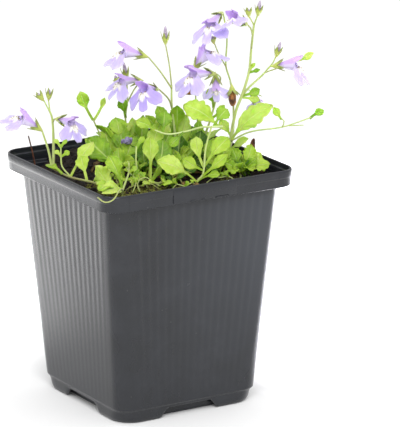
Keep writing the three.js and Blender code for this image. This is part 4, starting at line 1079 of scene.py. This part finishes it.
def left_sprig(bm):
    """The sprig with a round leaf."""
    stem(
        bm, 0.7, (-18, 20, ROOT_BOTTOM), (-18, 20, 97.5), (-19.5, 20.3, 104), (-21.5, 20.3, 108.5),
        (-23.5, 20, 113),
    )
    leaf(bm, (-23.4, 20, 112.6), (-28.6, 18, 125.4), 5.6, FRONT, 0.8, 0.42)
    leaf(bm, (-23.3, 20, 112.6), (-18.6, 21.5, 122), 2.2, FRONT, -0.6, 0.5)
    leaf(bm, (-18.4, 20, 99), (-27, 22, 104), 5, SLANT, 1.2)
    leaf(bm, (-18, 20, 99), (-25, 27, 103.5), 5, (0, 0.4, 1), 1.2)


def middle_left(bm):
    """The slender stem left of the middle, with the flower at the back and two buds."""
    stem(
        bm, 0.7, (-8, 22, ROOT_BOTTOM), (-8, 22, 98), (-8.8, 23.6, 105.5), (-10, 24, 112),
        (-9.2, 25, 120), (-9.5, 25, 129.4),
    )
    leaf(bm, (-9.9, 24, 112.6), (-11.8, 22.4, 121.6), 4.4, FRONT, 0.6)
    flower_stalk(bm, 0.55, (-9.3, 25, 119), (-5.6, 24, 126), (-2.5, 21, 129.5))
    flower_stalk(bm, 0.5, (-9.4, 25, 121.6), (-12.6, 27, 126.4))
    bud(bm, (-9.5, 25, 129), (-0.15, 0, 1), 0.95)
    bud(bm, (-12.6, 27, 126), (-0.4, 0.5, 0.8), 0.6)
    calyx_of(bm, "middle_back")


def centre_shoot(bm):
    """The shoot in the middle, with the stems of two flowers and a bud."""
    stem(bm, 0.85, (11, 6, ROOT_BOTTOM), (11, 6, 98), (11, 6, 108), (9.6, 6, 122.5), (9.5, 6.4, 131))
    flower_stalk(bm, 0.6, (9.6, 6.2, 129.6), (5, 7, 136.5), (0, 8, 142.5))
    flower_stalk(bm, 0.55, (9.5, 6.4, 130.6), (8.6, 8, 139), (7, 9, 148))
    flower_stalk(bm, 0.65, (9.8, 6, 120.6), (8.4, 2.4, 126), (4.5, -1, 131))
    bud(bm, (7, 9, 147.6), (0, 0, 1), 1)
    leaf(bm, (11, 6, 104.5), (11.8, 4.4, 122.8), 6.4, FRONT, -1.5, 0.45)
    leaf(bm, (10.6, 6.4, 110), (3.6, 11, 121), 5.2, SLANT, 1)
    leaf(bm, (10.9, 6, 102.5), (-1.2, 7, 118), 4.6, FRONT, -1.4, 0.5)
    leaf(bm, (11, 6, 98.2), (2.6, -2.5, 105), 5.8, SLANT, 1.4)
    leaf(bm, (11, 6, 98.4), (16.5, -3.5, 107), 5.6, SLANT, 1.2)
    leaf(bm, (11, 6, 98.6), (14.5, 13, 108), 5.2, FRONT, 1)
    calyx_of(bm, "left_top")
    calyx_of(bm, "middle")


def front_shoot(bm):
    """The front crown."""
    root(bm, 1, -22, 98)
    leaf(bm, (1, -22, 97), (1, -18, 115.4), 6.4, FRONT, 0.4, 0.4, 0.55)
    stem(bm, 0.65, (1, -22, 97.4), (-3, -26, 99.6), (-4.6, -27, 106.5), (-4.6, -24, 112.8))
    leaf(bm, (-4.6, -24.2, 112), (-1.4, -22.4, 116.6), 2.6, FRONT, 0.4)
    leaf(bm, (1.2, -21.4, 97.6), (6, -9.5, 112), 8.2, SLANT, -1, 0.35)
    leaf(bm, (1.4, -22, 97.6), (5.4, -22.8, 104.4), 2.4, FRONT, 0.3)
    stem(bm, 0.6, (1, -22.6, 97), (3, -27, 98.2), (5, -31, 98))
    leaf(bm, (4.8, -30.6, 98), (10, -35.5, 100.5), 3.6, SKY, 0.6)
    leaf(bm, (0.8, -22.6, 97.4), (-5, -33, 101), 4, SKY, 1)


def arch_shoot(bm):
    """The shoot whose long stem arches to the left."""
    leaf(bm, (19.8, -22.4, 97.4), (3.8, -29, 107.8), 8.8, SLANT, 1.2, 0.3, 0.6, 1.3)
    stem(
        bm, 0.8, (20, -22, ROOT_BOTTOM), (20, -22, 97.4), (22.4, -21, 100), (23.6, -16, 110),
        (26, -12, 118.2),
    )
    stem(
        bm, 0.7, (30.5, -10, 117.6), (26, -12, 118), (22, -11, 117.6), (15, -10, 115.4),
        (8, -10, 114.4), (1.5, -8, 116), tone=0.8,
    )
    leaf(bm, (22.8, -19.6, 101.4), (14.4, -23, 107.4), 5, SLANT, 0.8)
    leaf(bm, (22.9, -19, 102.6), (19.6, -10, 113.4), 5.4, FRONT, 0.6)
    leaf(bm, (23, -18.8, 103), (33, -12, 113.6), 7.6, SLANT, 1)
    leaf(bm, (22.2, -21.1, 99.4), (32.4, -23.5, 109), 5, SLANT, 0.8)
    leaf(bm, (20, -22, 97.2), (29.4, -26, 101.5), 4.4, SKY, 1)
    leaf(bm, (29, -10.6, 117.6), (14.6, -11, 127), 8.6, SLANT, 1.4, 0.1, 0.5, 1.8)
    leaf(bm, (26.8, -11.6, 118), (32.4, -9, 124.8), 6, FRONT, 0.6)
    leaf(bm, (15, -10, 115.4), (9, -13.4, 110), 4.2, FRONT, 0.6)
    leaf(bm, (6, -9.4, 114.6), (6.6, -6, 123.4), 6.4, FRONT, 0.6, 0.15)
    leaf(bm, (3, -8.6, 115.4), (-5, -8, 119.6), 5, FRONT, 0.6, 0.15)


def tall_shoot(bm):
    """The tall shoot at the right, with its side branch and its trailing runner."""
    stem(
        bm, 1, (33.5, 4, ROOT_BOTTOM), (33.5, 4, 98), (33.6, 4, 106), (36, 5, 120), (39, 6, 128),
        (41.5, 8, 136.5), (42.5, 9, 147), (43.5, 10, 156),
    )
    stem(bm, 0.55, (43.5, 10, 155.6), (41.4, 10, 159.4))
    stem(bm, 0.6, (43.5, 10, 155.6), (45, 10, 160))
    bud(bm, (41.4, 10, 159), (-0.1, 0, 1), 0.7, 0.6)
    bud(bm, (45, 10, 159.4), (0.15, 0, 1), 0.85)
    flower_stalk(bm, 0.65, (42.4, 8.9, 145.6), (42.9, 7.8, 151), (42.2, 7.8, 154.6), (41, 8, 156))
    leaf(bm, (41.4, 8, 136), (46, 7.6, 137.4), 1.9, FRONT, 0.2)
    leaf(bm, (41.4, 8, 136), (44, 7.6, 140.2), 1.6, FRONT, 0.2)
    leaf(bm, (38.6, 6, 126.8), (46, 7.6, 129), 3.4, FRONT, 0.5)
    leaf(bm, (38.2, 6, 126), (45.6, 7, 124.4), 3, FRONT, 0.5)
    leaf(bm, (34, 3.6, 108), (51, -2.5, 124.8), 8.4, SLANT, 1.6, 0.12, 0.66, 1.6)
    stem(bm, 0.75, (38.4, 6, 126.4), (41.8, 8, 130), (47, 9.6, 134.5), (50.2, 9, 138.4))
    stem(bm, 0.55, (49, 9.6, 137), (51.4, 10.4, 139.6), (52.6, 10.4, 142.4))
    bud(bm, (52.6, 10.4, 142), (0.3, 0, 1), 0.85)
    flower_stalk(bm, 0.5, (48, 9.6, 135.6), (54.5, 13.4, 137), (62, 14.4, 140))
    leaf(bm, (61.2, 14.3, 139.6), (68, 13, 143.3), 3.2, FRONT, 0.5)
    stem(bm, 0.6, (34, 3.6, 108), (42, 1.5, 112.4), (55.5, 2, 114.4), (67.4, 4, 118))
    leaf(bm, (66.6, 4, 117.4), (72.4, 4, 121), 3.2, FRONT, 0.5)
    stem(bm, 0.5, (55.2, 2, 114.2), (56, 2, 116.8), (54.6, 2, 118))
    leaf(bm, (54.8, 2, 117.6), (51.6, 2.4, 122.6), 3, FRONT, 0.5, 0.1)
    stem(bm, 0.45, (58, 2.4, 114.8), (64, 1, 115.4))
    leaf(bm, (33.6, 3.8, 104), (41, -5.6, 111.4), 4, SLANT, 1)
    leaf(bm, (33.5, 4, 98.4), (27.5, -4.5, 107), 5.6, SLANT, 1.2)
    calyx_of(bm, "top")
    calyx_of(bm, "right")
    stem(bm, 0.5, (39.4, 6.6, 128.6), (40, 11, 128.4), (42, 14, 127))
    calyx_of(bm, "right_low")


def back_stalks(bm):
    """The long stem of the highest flower, with a bud and the calyx of the withered flower that hangs."""
    stem(
        bm, 0.7, (33, 13, ROOT_BOTTOM), (33, 13, 98), (35, 13, 108), (35.2, 14, 116),
        (35, 15.6, 122), (33.8, 16.4, 130.5), (32, 16, 137), (32.4, 17.4, 148), (31.2, 18, 157),
        (30.5, 17.5, 159.6),
    )
    flower_stalk(bm, 0.5, (32, 16, 136.6), (29, 14, 142.5), (27, 12, 148))
    bud(bm, (27, 12, 147.4), (-0.2, -0.2, 1), 0.45)
    calyx(bm, (34.3, 11.3, 130.4), (0.1, -0.25, -1), (0, -1, 0.5), 3.6, 5)
    stem(bm, 0.5, (33.6, 16.3, 130.6), (34.3, 11.5, 130.4))
    calyx_of(bm, "top_left")
    leaf(bm, (34.8, 13, 106.5), (29.5, 15, 114), 4.2, SLANT, 0.8)


def centre_stalks(bm):
    """The stems of the centre flower, its neighbour at the right and the upright one."""
    stem(
        bm, 0.65, (21, 12, ROOT_BOTTOM), (21, 12, 98), (20.6, 12, 108), (19.5, 11, 124),
        (18.5, 10, 136.5),
    )
    stem(bm, 0.75, (20.8, 12, 102), (25, 13, 113), (28, 14.4, 124), (28.6, 14.4, 131), (27.5, 13, 135))
    flower_stalk(bm, 0.6, (28.4, 14.4, 128.6), (29.8, 11, 133), (28, 8, 135.5))
    leaf(bm, (26.8, 13.8, 119.6), (24.6, 10.4, 128.4), 4, FRONT, 0.5)
    leaf(bm, (25.6, 13.2, 115), (31.4, 10.4, 121.5), 3.4, FRONT, 0.5)
    calyx_of(bm, "upright")
    calyx_of(bm, "centre")
    calyx_of(bm, "centre_right")


def right_rosette(bm):
    """The crinkled leaves at the right: the large ones, and small ones turned on by the golden angle."""
    root(bm, 38, -8)
    for start, tip, width, face, bow in (
        ((38, -7.6, 98), (42.6, -2.5, 108), 5.2, FRONT, 0.8),
        ((38.2, -8, 97.8), (50, -9.5, 101.8), 5, SLANT, 1.4),
        ((37.8, -7.6, 98), (34.6, -2.6, 106.6), 5.2, FRONT, 0.8),
        ((37.8, -8.2, 97.8), (31.4, -14, 103.4), 4.8, SLANT, 0.8),
        ((38.2, -7.8, 98), (46.6, -1.5, 104.2), 4.6, SLANT, 0.8),
        ((38.2, -8.4, 97.6), (43, -17, 101.2), 4.2, SKY, 1),
        ((37.8, -8.4, 97.6), (34, -19, 100.6), 4.2, SKY, 1),
    ):
        leaf(bm, start, tip, width, face, bow, crinkle=ROSETTE_CRINKLE)
    for k in range(9):
        turn = k * GOLDEN_ANGLE
        out = Vector((math.cos(turn), 0.8 * math.sin(turn), 0))
        tip = Vector((38.5, -8, 97.4)) + out * random.uniform(5, 8) + UP * random.uniform(2.5, 8.5)
        leaf(bm, (38.2, -8, 97.4), tip, random.uniform(3, 4.2), SLANT, 1, 0.2, 0.3, ROSETTE_CRINKLE)


def rosette(x, y, count, length, width, seed, first=0.0):
    """A rosette of leaves round a root, each turned on by the golden angle, at a seeded length and
    tilt."""

    def grow(bm):
        draw = seeded(seed)
        root(bm, x, y, 98.2)
        for k in range(count):
            turn = first + k * GOLDEN_ANGLE + 0.3 * next(draw)
            out = Vector((math.cos(turn), math.sin(turn), 0))
            tilt = math.radians(22 + 34 * next(draw))
            size = length * (0.8 + 0.3 * next(draw))
            base = Vector((x, y, 97 + 0.1 * k))
            tip = base + out * (size * math.cos(tilt)) + UP * (size * math.sin(tilt))
            wide = width * (0.85 + 0.3 * next(draw))
            leaf(bm, base, tip, wide, UP - 0.6 * out, 1.2 + next(draw))

    return grow


# Where more leaves crowd round the crowns: x, y, the number of leaves, their length and width.
CROWDS = [
    (-12, 5, 8, 12, 5.4),
    (-8, 4, 8, 13, 5.6),
    (-1, 2, 8, 13, 5.6),
    (5, 7, 8, 14, 6),
    (12, 9, 8, 14, 5.8),
    (18, 5, 8, 12.5, 5.4),
    (23, -3, 8, 12, 5.2),
    (28, 3, 8, 12, 5.2),
    (30, -9, 7, 10, 4.6),
    (14, -6, 8, 12, 5.2),
    (5, -10, 8, 11, 4.8),
    (-3, -12, 7, 10, 4.4),
    (12, -17, 6, 9, 4),
    (38, 0, 6, 9, 4.6),
    (40, -9, 7, 8.5, 4),
    (-5, -25, 5, 7, 3.4),
    (9, -28, 4, 7, 3.2),
    (-14, 28, 5, 8, 4.4),
    (-2, 29, 5, 8, 4.4),
    (9, 32, 5, 8, 4.4),
    (20, 22, 5, 8, 4.4),
    (28, 17, 5, 8, 4.2),
    (12, 22, 5, 8, 4.2),
]

# Thin stems that creep over the soil at the front.
CREEPING_STEMS = [
    ((-9, -34, 97), (-6, -35.5, 99.2), (-2, -32, 98.4), (1, -33.5, 99.8), (5, -32.5, 97)),
    ((-3, -36, 97), (-4, -34, 100), (-1, -31, 101.6), (3, -30.5, 99.4), (7, -28, 98.6)),
    ((-14, -36, 97), (-12, -33, 99), (-12.6, -30, 101), (-9, -27, 100), (-7, -22, 97)),
    ((4, -27, 97), (6, -26, 99), (10, -27.6, 98.6), (12, -25, 100), (15, -29, 97)),
    ((0, -30, 97), (-2, -28, 100), (-6, -27.4, 101.4), (-8.6, -26, 104.6), (-8, -25, 107)),
    ((-6, -38, 97), (-4.6, -37, 101), (-5.6, -36, 104), (-4.4, -36, 106.4)),
    ((24, -22, 97), (27, -21, 99), (30, -19, 98.4), (33, -21, 99.4), (36, -20, 97)),
    ((-16, -30, 97), (-17, -28, 99), (-16, -25, 99.8), (-20, -22, 98.6), (-21, -20, 97)),
    ((-20, -26, 97), (-18, -25, 98.6), (-15, -26, 99.6), (-12, -24, 97)),
    ((10, -32, 97), (12, -31, 98.8), (15, -31.4, 98), (18, -28, 98.6), (20, -26, 97)),
]

# Large upright leaves of the crowns' middle: the root, the tip, the width and the tone.
CROWN_LEAVES = [
    ((0.5, -13, 97), (5.4, -3, 118), 6.8, 0.5),
    ((3, -9, 97), (9.2, 1, 112.5), 6.4, 0.2),
    ((-8.5, -3, 97), (-4.6, 3, 111), 7.4, 0.1),
    ((-11, 0, 97.5), (-18.5, 8, 112.8), 6.4, 0.34),
    ((-11, 2, 97.5), (-16, 12, 113.6), 6, 0.1),
    ((-11, -2, 97.5), (-11.6, 8, 114.4), 6.8, 0.22),
    ((-10, -8, 97), (-12.4, -4, 107), 6, 0.3),
    ((-8, -7, 97), (-7.6, -1, 107.4), 6.4, 0),
    ((12, -2, 97), (13.4, 4, 110), 7, -0.1),
    ((16, -3, 97), (18.4, 2, 109), 6.8, 0.2),
    ((20, 1, 97), (21.6, 6, 111.8), 6.8, -0.05),
    ((24, -6, 97), (27, 0, 110), 6.4, 0.3),
    ((-1, -10, 97), (-2, -5, 109.4), 6, 0),
    ((9, -14, 97), (10.5, -8, 107.6), 6.4, 0.3),
    ((28, -8, 97), (33, -3, 108), 6, 0.34),
    ((6, 5, 97), (2, 11, 114), 6, 0.1),
    ((-4, 6, 97), (-7, 11, 116), 6, 0.56),
    ((-1, 4, 97), (-2.4, 9, 117.6), 6, 0.2),
    ((4, 3, 97), (5, 10, 119.6), 6.2, 0.62),
    ((8, 8, 97), (10, 13, 118), 6, 0.3),
    ((13, 6, 97), (15.6, 12, 117), 6, 0.6),
    ((17, 4, 97), (21, 10, 115), 5.6, 0.24),
]


def undergrowth(bm):
    """The leaves that fill the middle of the plant from the soil up, and the stems that creep over the
    soil, with a tiny leaf at each of their bends."""
    for base, tip, width, tone in CROWN_LEAVES:
        leaf(bm, base, tip, width, FRONT, random.uniform(-0.6, 1), 0.2, tone, 1.7)
    for x, y, count, length, width in CROWDS:
        for k in range(count):
            turn = k * GOLDEN_ANGLE + random.uniform(0, 1) + x
            out = Vector((math.cos(turn), 0.8 * math.sin(turn), 0))
            tilt = math.radians(random.uniform(20, 66))
            size = length * random.uniform(0.7, 1.05)
            base = Vector((x + random.uniform(-2, 2), y + random.uniform(-2, 2), 96.6))
            tip = base + out * (size * math.cos(tilt)) + UP * (size * math.sin(tilt))
            face = UP * 0.8 - 0.5 * out + Vector((0, -0.5, 0))
            wide = width * random.uniform(0.6, 1.05)
            # Partly painted light and shade: these tones spread wider and reach darker than the other
            # leaves', for the light and shade among the crowded leaves, on top of each leaf's own random
            # tone.
            tone = random.uniform(-0.3, 0.5)
            leaf(bm, base, tip, wide, face, random.uniform(0.4, 2), 0.28, tone, 2, True)
    for bend in CREEPING_STEMS:
        stem(bm, random.uniform(0.4, 0.55), *bend, tone=random.uniform(0.1, 0.6))
        for knot in bend[1:-1]:
            reach = Vector((random.uniform(-3, 3), random.uniform(-3, 1), random.uniform(1, 3)))
            leaf(bm, knot, Vector(knot) + reach, random.uniform(1.4, 2.4), SLANT, 0.3, hidden=True)


SHOOTS = {
    "shoot_left_runner": runner_left,
    "shoot_near_corner": corner_shoot,
    "shoot_left_crown": left_crown,
    "shoot_left_sprig": left_sprig,
    "shoot_middle_left": middle_left,
    "shoot_centre": centre_shoot,
    "shoot_front": front_shoot,
    "shoot_arching": arch_shoot,
    "shoot_tall": tall_shoot,
    "shoot_back_stalks": back_stalks,
    "shoot_centre_stalks": centre_stalks,
    "rosette_right": right_rosette,
    "rosette_back_left": rosette(-14, 30, 4, 12, 5.8, 11, 0.4),
    "rosette_back": rosette(6, 35, 4, 12, 5.8, 23, 1.2),
    "rosette_back_right": rosette(22, 24, 4, 12, 5.8, 37, 0.2),
}


# Withered corollas
WITHERED_WIDTHS = (0.6, 0.8, 1.2, 1.7, 1.2, 0.5)


def make_withered(name, base, direction, length, seed, material):
    """A crumpled spindle, wrinkled lengthwise."""
    draw = seeded(seed)
    axes = axes_of(direction, (0.4, -0.8, 0.3))
    last = len(WITHERED_WIDTHS) - 1
    rings = []
    for i, width in enumerate(WITHERED_WIDTHS):
        aside, above = next(draw) - 0.5, next(draw) - 0.5
        centre = Vector(base) + axes[0] * aside + axes[1] * above + axes[2] * (length * i / last)
        wide, high = (width * (0.7 + 0.5 * next(draw)) for _ in range(2))
        rings.append((centre, wide, high))

    def place(u, v):
        spot = min(last - 1, int(v * last))
        part = v * last - spot
        (a, wide_a, high_a), (b, wide_b, high_b) = rings[spot], rings[spot + 1]
        wrinkle = (1 + 0.16 * math.cos(10 * math.pi * u + 6 * v)) * (0 < v < 1)
        wide = (wide_a + (wide_b - wide_a) * part) * wrinkle
        high = (high_a + (high_b - high_a) * part) * wrinkle
        return around(a.lerp(b, part), axes, u, wide, high)

    bm = new_part()
    lay(bm, 24, 20, place)
    finish(bm, "withered_flower_" + name, [material], ["withered_" + name])


# Litter and moss
def in_pot(x, y):
    """A point of the plant's frame, in the pot's."""
    return Matrix.Rotation(PLANT_TURN, 3, "Z") @ Vector((x, y, 0))


def soil_under(x, y):
    """The soil's height under a point of the plant's frame."""
    spot = in_pot(x, y)
    return soil_surface(spot.x, spot.y).z


def make_litter():
    """Dead brown leaves that lie on the soil between the shoots."""
    bm = new_part()
    for _ in range(DEAD_LEAVES):
        x, y = random.uniform(-24, 34), random.uniform(-34, 14)
        turn = random.uniform(0, 2 * math.pi)
        size = random.uniform(3, 6)
        base = Vector((x, y, soil_under(x, y) + 0.4))
        tip = base + Vector((size * math.cos(turn), size * math.sin(turn), random.uniform(0.2, 4)))
        leaf(bm, base, tip, size * 0.45, (0, -0.3, 1), random.uniform(0.2, 1.4))
    finish(bm, "dead_leaves", [DEAD_LEAF])


# The patches of moss: x, y and reach.
MOSS_PATCHES = [
    (-14, -38, 7),
    (-4, -40, 7),
    (6, -33, 6),
    (-20, -27, 5),
    (16, -29, 5),
    (-2, -30, 6),
    (34, -16, 5),
]


def make_moss():
    """Moss on the soil in front of the crowns, each patch of upright pointed tips."""
    bm = new_part()
    shade = bm.verts.layers.float["tone"]
    for cx, cy, reach in MOSS_PATCHES:
        for _ in range(MOSS_TIPS):
            x, y = random.gauss(cx, reach / 2), random.gauss(cy, reach / 2)
            spot = in_pot(x, y)
            if max(abs(spot.x), abs(spot.y)) > SOIL_REACH - 1:
                continue
            size = random.uniform(0.5, 1.3)
            lean = Vector((random.gauss(0, 0.7), random.gauss(0, 0.7), 1))
            move = standing((x, y, soil_under(x, y) + size * 0.3), lean)
            made = bmesh.ops.create_cone(
                bm, cap_ends=True, segments=4, radius1=0.4, radius2=0.12, depth=size, matrix=move
            )
            for vert in made["verts"]:
                vert[shade] = 0.5
    finish(bm, "moss_cushions", [MOSS])


# Bark and stalk
def make_bark():
    """A splintered sliver of bark, standing in the soil."""
    # Its sections from the foot up: x, y, z, and its half widths along X and Y.
    sections = [
        (38.6, 2.6, ROOT_BOTTOM, 1.8, 1),
        (40.4, 3.6, 97, 2.2, 1.2),
        (42.4, 5, 104, 1.8, 0.9),
        (43.6, 6, 108.6, 0.5, 0.4),
    ]
    last = len(sections) - 1

    def place(u, v):
        spot = min(last - 1, int(v * last))
        part = v * last - spot
        x, y, z, wide, deep = (a + (b - a) * part for a, b in zip(sections[spot], sections[spot + 1]))
        angle = 2 * math.pi * u
        rough = (0.9 + 0.25 * noise.noise(Vector((6 * u, 9 * v, 3)))) * (0 < v < 1)
        return Vector((x + wide * rough * math.cos(angle), y - deep * rough * math.sin(angle), z))

    bm = new_part()
    lay(bm, 16, 24, place)
    finish(bm, "bark_splinter", [BARK], ["bark_sliver"])


def make_dry_stalk():
    """The thin dry stalk in the left corner."""
    bm = new_part()
    stem(bm, 0.6, (-46.5, 7.4, 84), (-46.8, 7.5, 91), (-48, 8, 100), (-50, 8, 109))
    finish(bm, "dry_stalk_dressed", [BARK, BARK], ["dry_stalk"])


# The plant
random.seed(7)
make_pot()
make_soil()
make_bark()
make_dry_stalk()
for node, grow in SHOOTS.items():
    green = new_part()
    grow(green)
    finish(green, node + "_dressed", [LEAF, STEM, CALYX, BUD_TIP], [node])
thicket = new_part()
undergrowth(thicket)
finish(thicket, "undergrowth_leaves", [LEAF, STEM])
make_litter()
make_moss()
for name, places in FLOWERS.items():
    make_corolla(name, places)
make_withered("hanging", (34.5, 11.2, 128.6), (0.1, -0.1, -1), 7.6, 5, WITHERED)
make_withered("on_leaf", (-11.5, -3.2, 109.2), (0.8, -0.3, 0.3), 5.5, 9, FADED)
make_withered("centre", (18.4, 9.9, 129.2), (-0.67, -0.67, -0.33), 5, 14, WITHERED)


# Camera, lights and floor. The frame and the focal length are in pixels of the photograph, and the
# camera's places and the lights' are in metres.
FRAME_HEIGHT = 427
FOCAL_PIXELS = 3553
CAMERA_DISTANCE = 1.4832
CAMERA_ASIDE = 0.02125
CAMERA_ABOVE = 0.02627
CAMERA_AZIMUTH = math.radians(-31.36)
CAMERA_ELEVATION = math.radians(15.68)


def make_camera():
    """A long lens at the photograph's angle, aimed a little above and to the right of the pot."""
    level = math.cos(CAMERA_ELEVATION)
    x, y = math.sin(CAMERA_AZIMUTH) * level, -math.cos(CAMERA_AZIMUTH) * level
    back = Vector((x, y, math.sin(CAMERA_ELEVATION)))
    right = Vector((math.cos(CAMERA_AZIMUTH), math.sin(CAMERA_AZIMUTH), 0))
    upward = back.cross(right)
    spot = Vector((0, 0, POT_HEIGHT / 2 * MM)) + right * CAMERA_ASIDE + upward * CAMERA_ABOVE
    lens = bpy.data.cameras.new("photo_camera")
    lens.sensor_fit = "VERTICAL"
    lens.sensor_height = 36
    lens.lens = FOCAL_PIXELS / FRAME_HEIGHT * lens.sensor_height
    lens.clip_end = 20
    camera = bpy.data.objects.new("photo_camera", lens)
    turn = Matrix((right, upward, back)).transposed().to_4x4()
    camera.matrix_world = Matrix.Translation(spot + back * CAMERA_DISTANCE) @ turn
    bpy.context.scene.collection.objects.link(camera)
    bpy.context.scene.camera = camera


def add_light(name, place, aim, size, power, colour, spread, turn=0):
    """A soft square light at place, faced towards aim and turned on its own axis, whose beam opens to
    spread degrees."""
    light = bpy.data.lights.new(name, "AREA")
    light.size = size
    light.spread = math.radians(spread)
    light.energy = power
    light.color = linear(colour)[:3]
    lamp = bpy.data.objects.new(name, light)
    lamp.location = place
    facing = (Vector(aim) - Vector(place)).to_track_quat("-Z", "Y")
    lamp.rotation_euler = (facing @ Quaternion((0, 0, 1), math.radians(turn))).to_euler()
    bpy.context.scene.collection.objects.link(lamp)


def make_studio():
    """White surroundings, two narrow beams on the floor behind the pot, a broad lamp high in front, and
    the floor itself."""
    bpy.context.scene.view_settings.view_transform = "Standard"
    world = bpy.data.worlds.new("white_studio")
    bpy.context.scene.world = world
    world.use_nodes = True
    world.node_tree.nodes["Background"].inputs["Color"].default_value = linear("#ffffff")
    world.node_tree.nodes["Background"].inputs["Strength"].default_value = 1.0
    middle = (0, 0, 0.09)
    add_light("floor_left", (-0.005, 0.289, 0.6), (-0.005, 0.289, 0), 0.3, 1.05, "#ffffff", 10, 31.4)
    add_light("floor_right", (0.24, 0.13, 0.6), (0.24, 0.13, 0), 0.34, 1.3, "#f6f4ff", 8)
    add_light("high_front", (-0.6, -1.2, 1.2), middle, 0.9, 18, "#ffffff", 180)
    bm = bmesh.new()
    bmesh.ops.create_grid(bm, x_segments=1, y_segments=1, size=4)
    bmesh.ops.translate(bm, verts=bm.verts, vec=(0, 0, -0.0003))
    mesh = bpy.data.meshes.new("pale_floor")
    bm.to_mesh(mesh)
    bm.free()
    # The floor: matt white card.
    card, _, _ = new_material("matt_white_card", Base_Color=linear("#f6f6f6"), Roughness=0.9)
    mesh.materials.append(card)
    floor = bpy.data.objects.new("pale_floor", mesh)
    bpy.context.scene.collection.objects.link(floor)


make_camera()
make_studio()
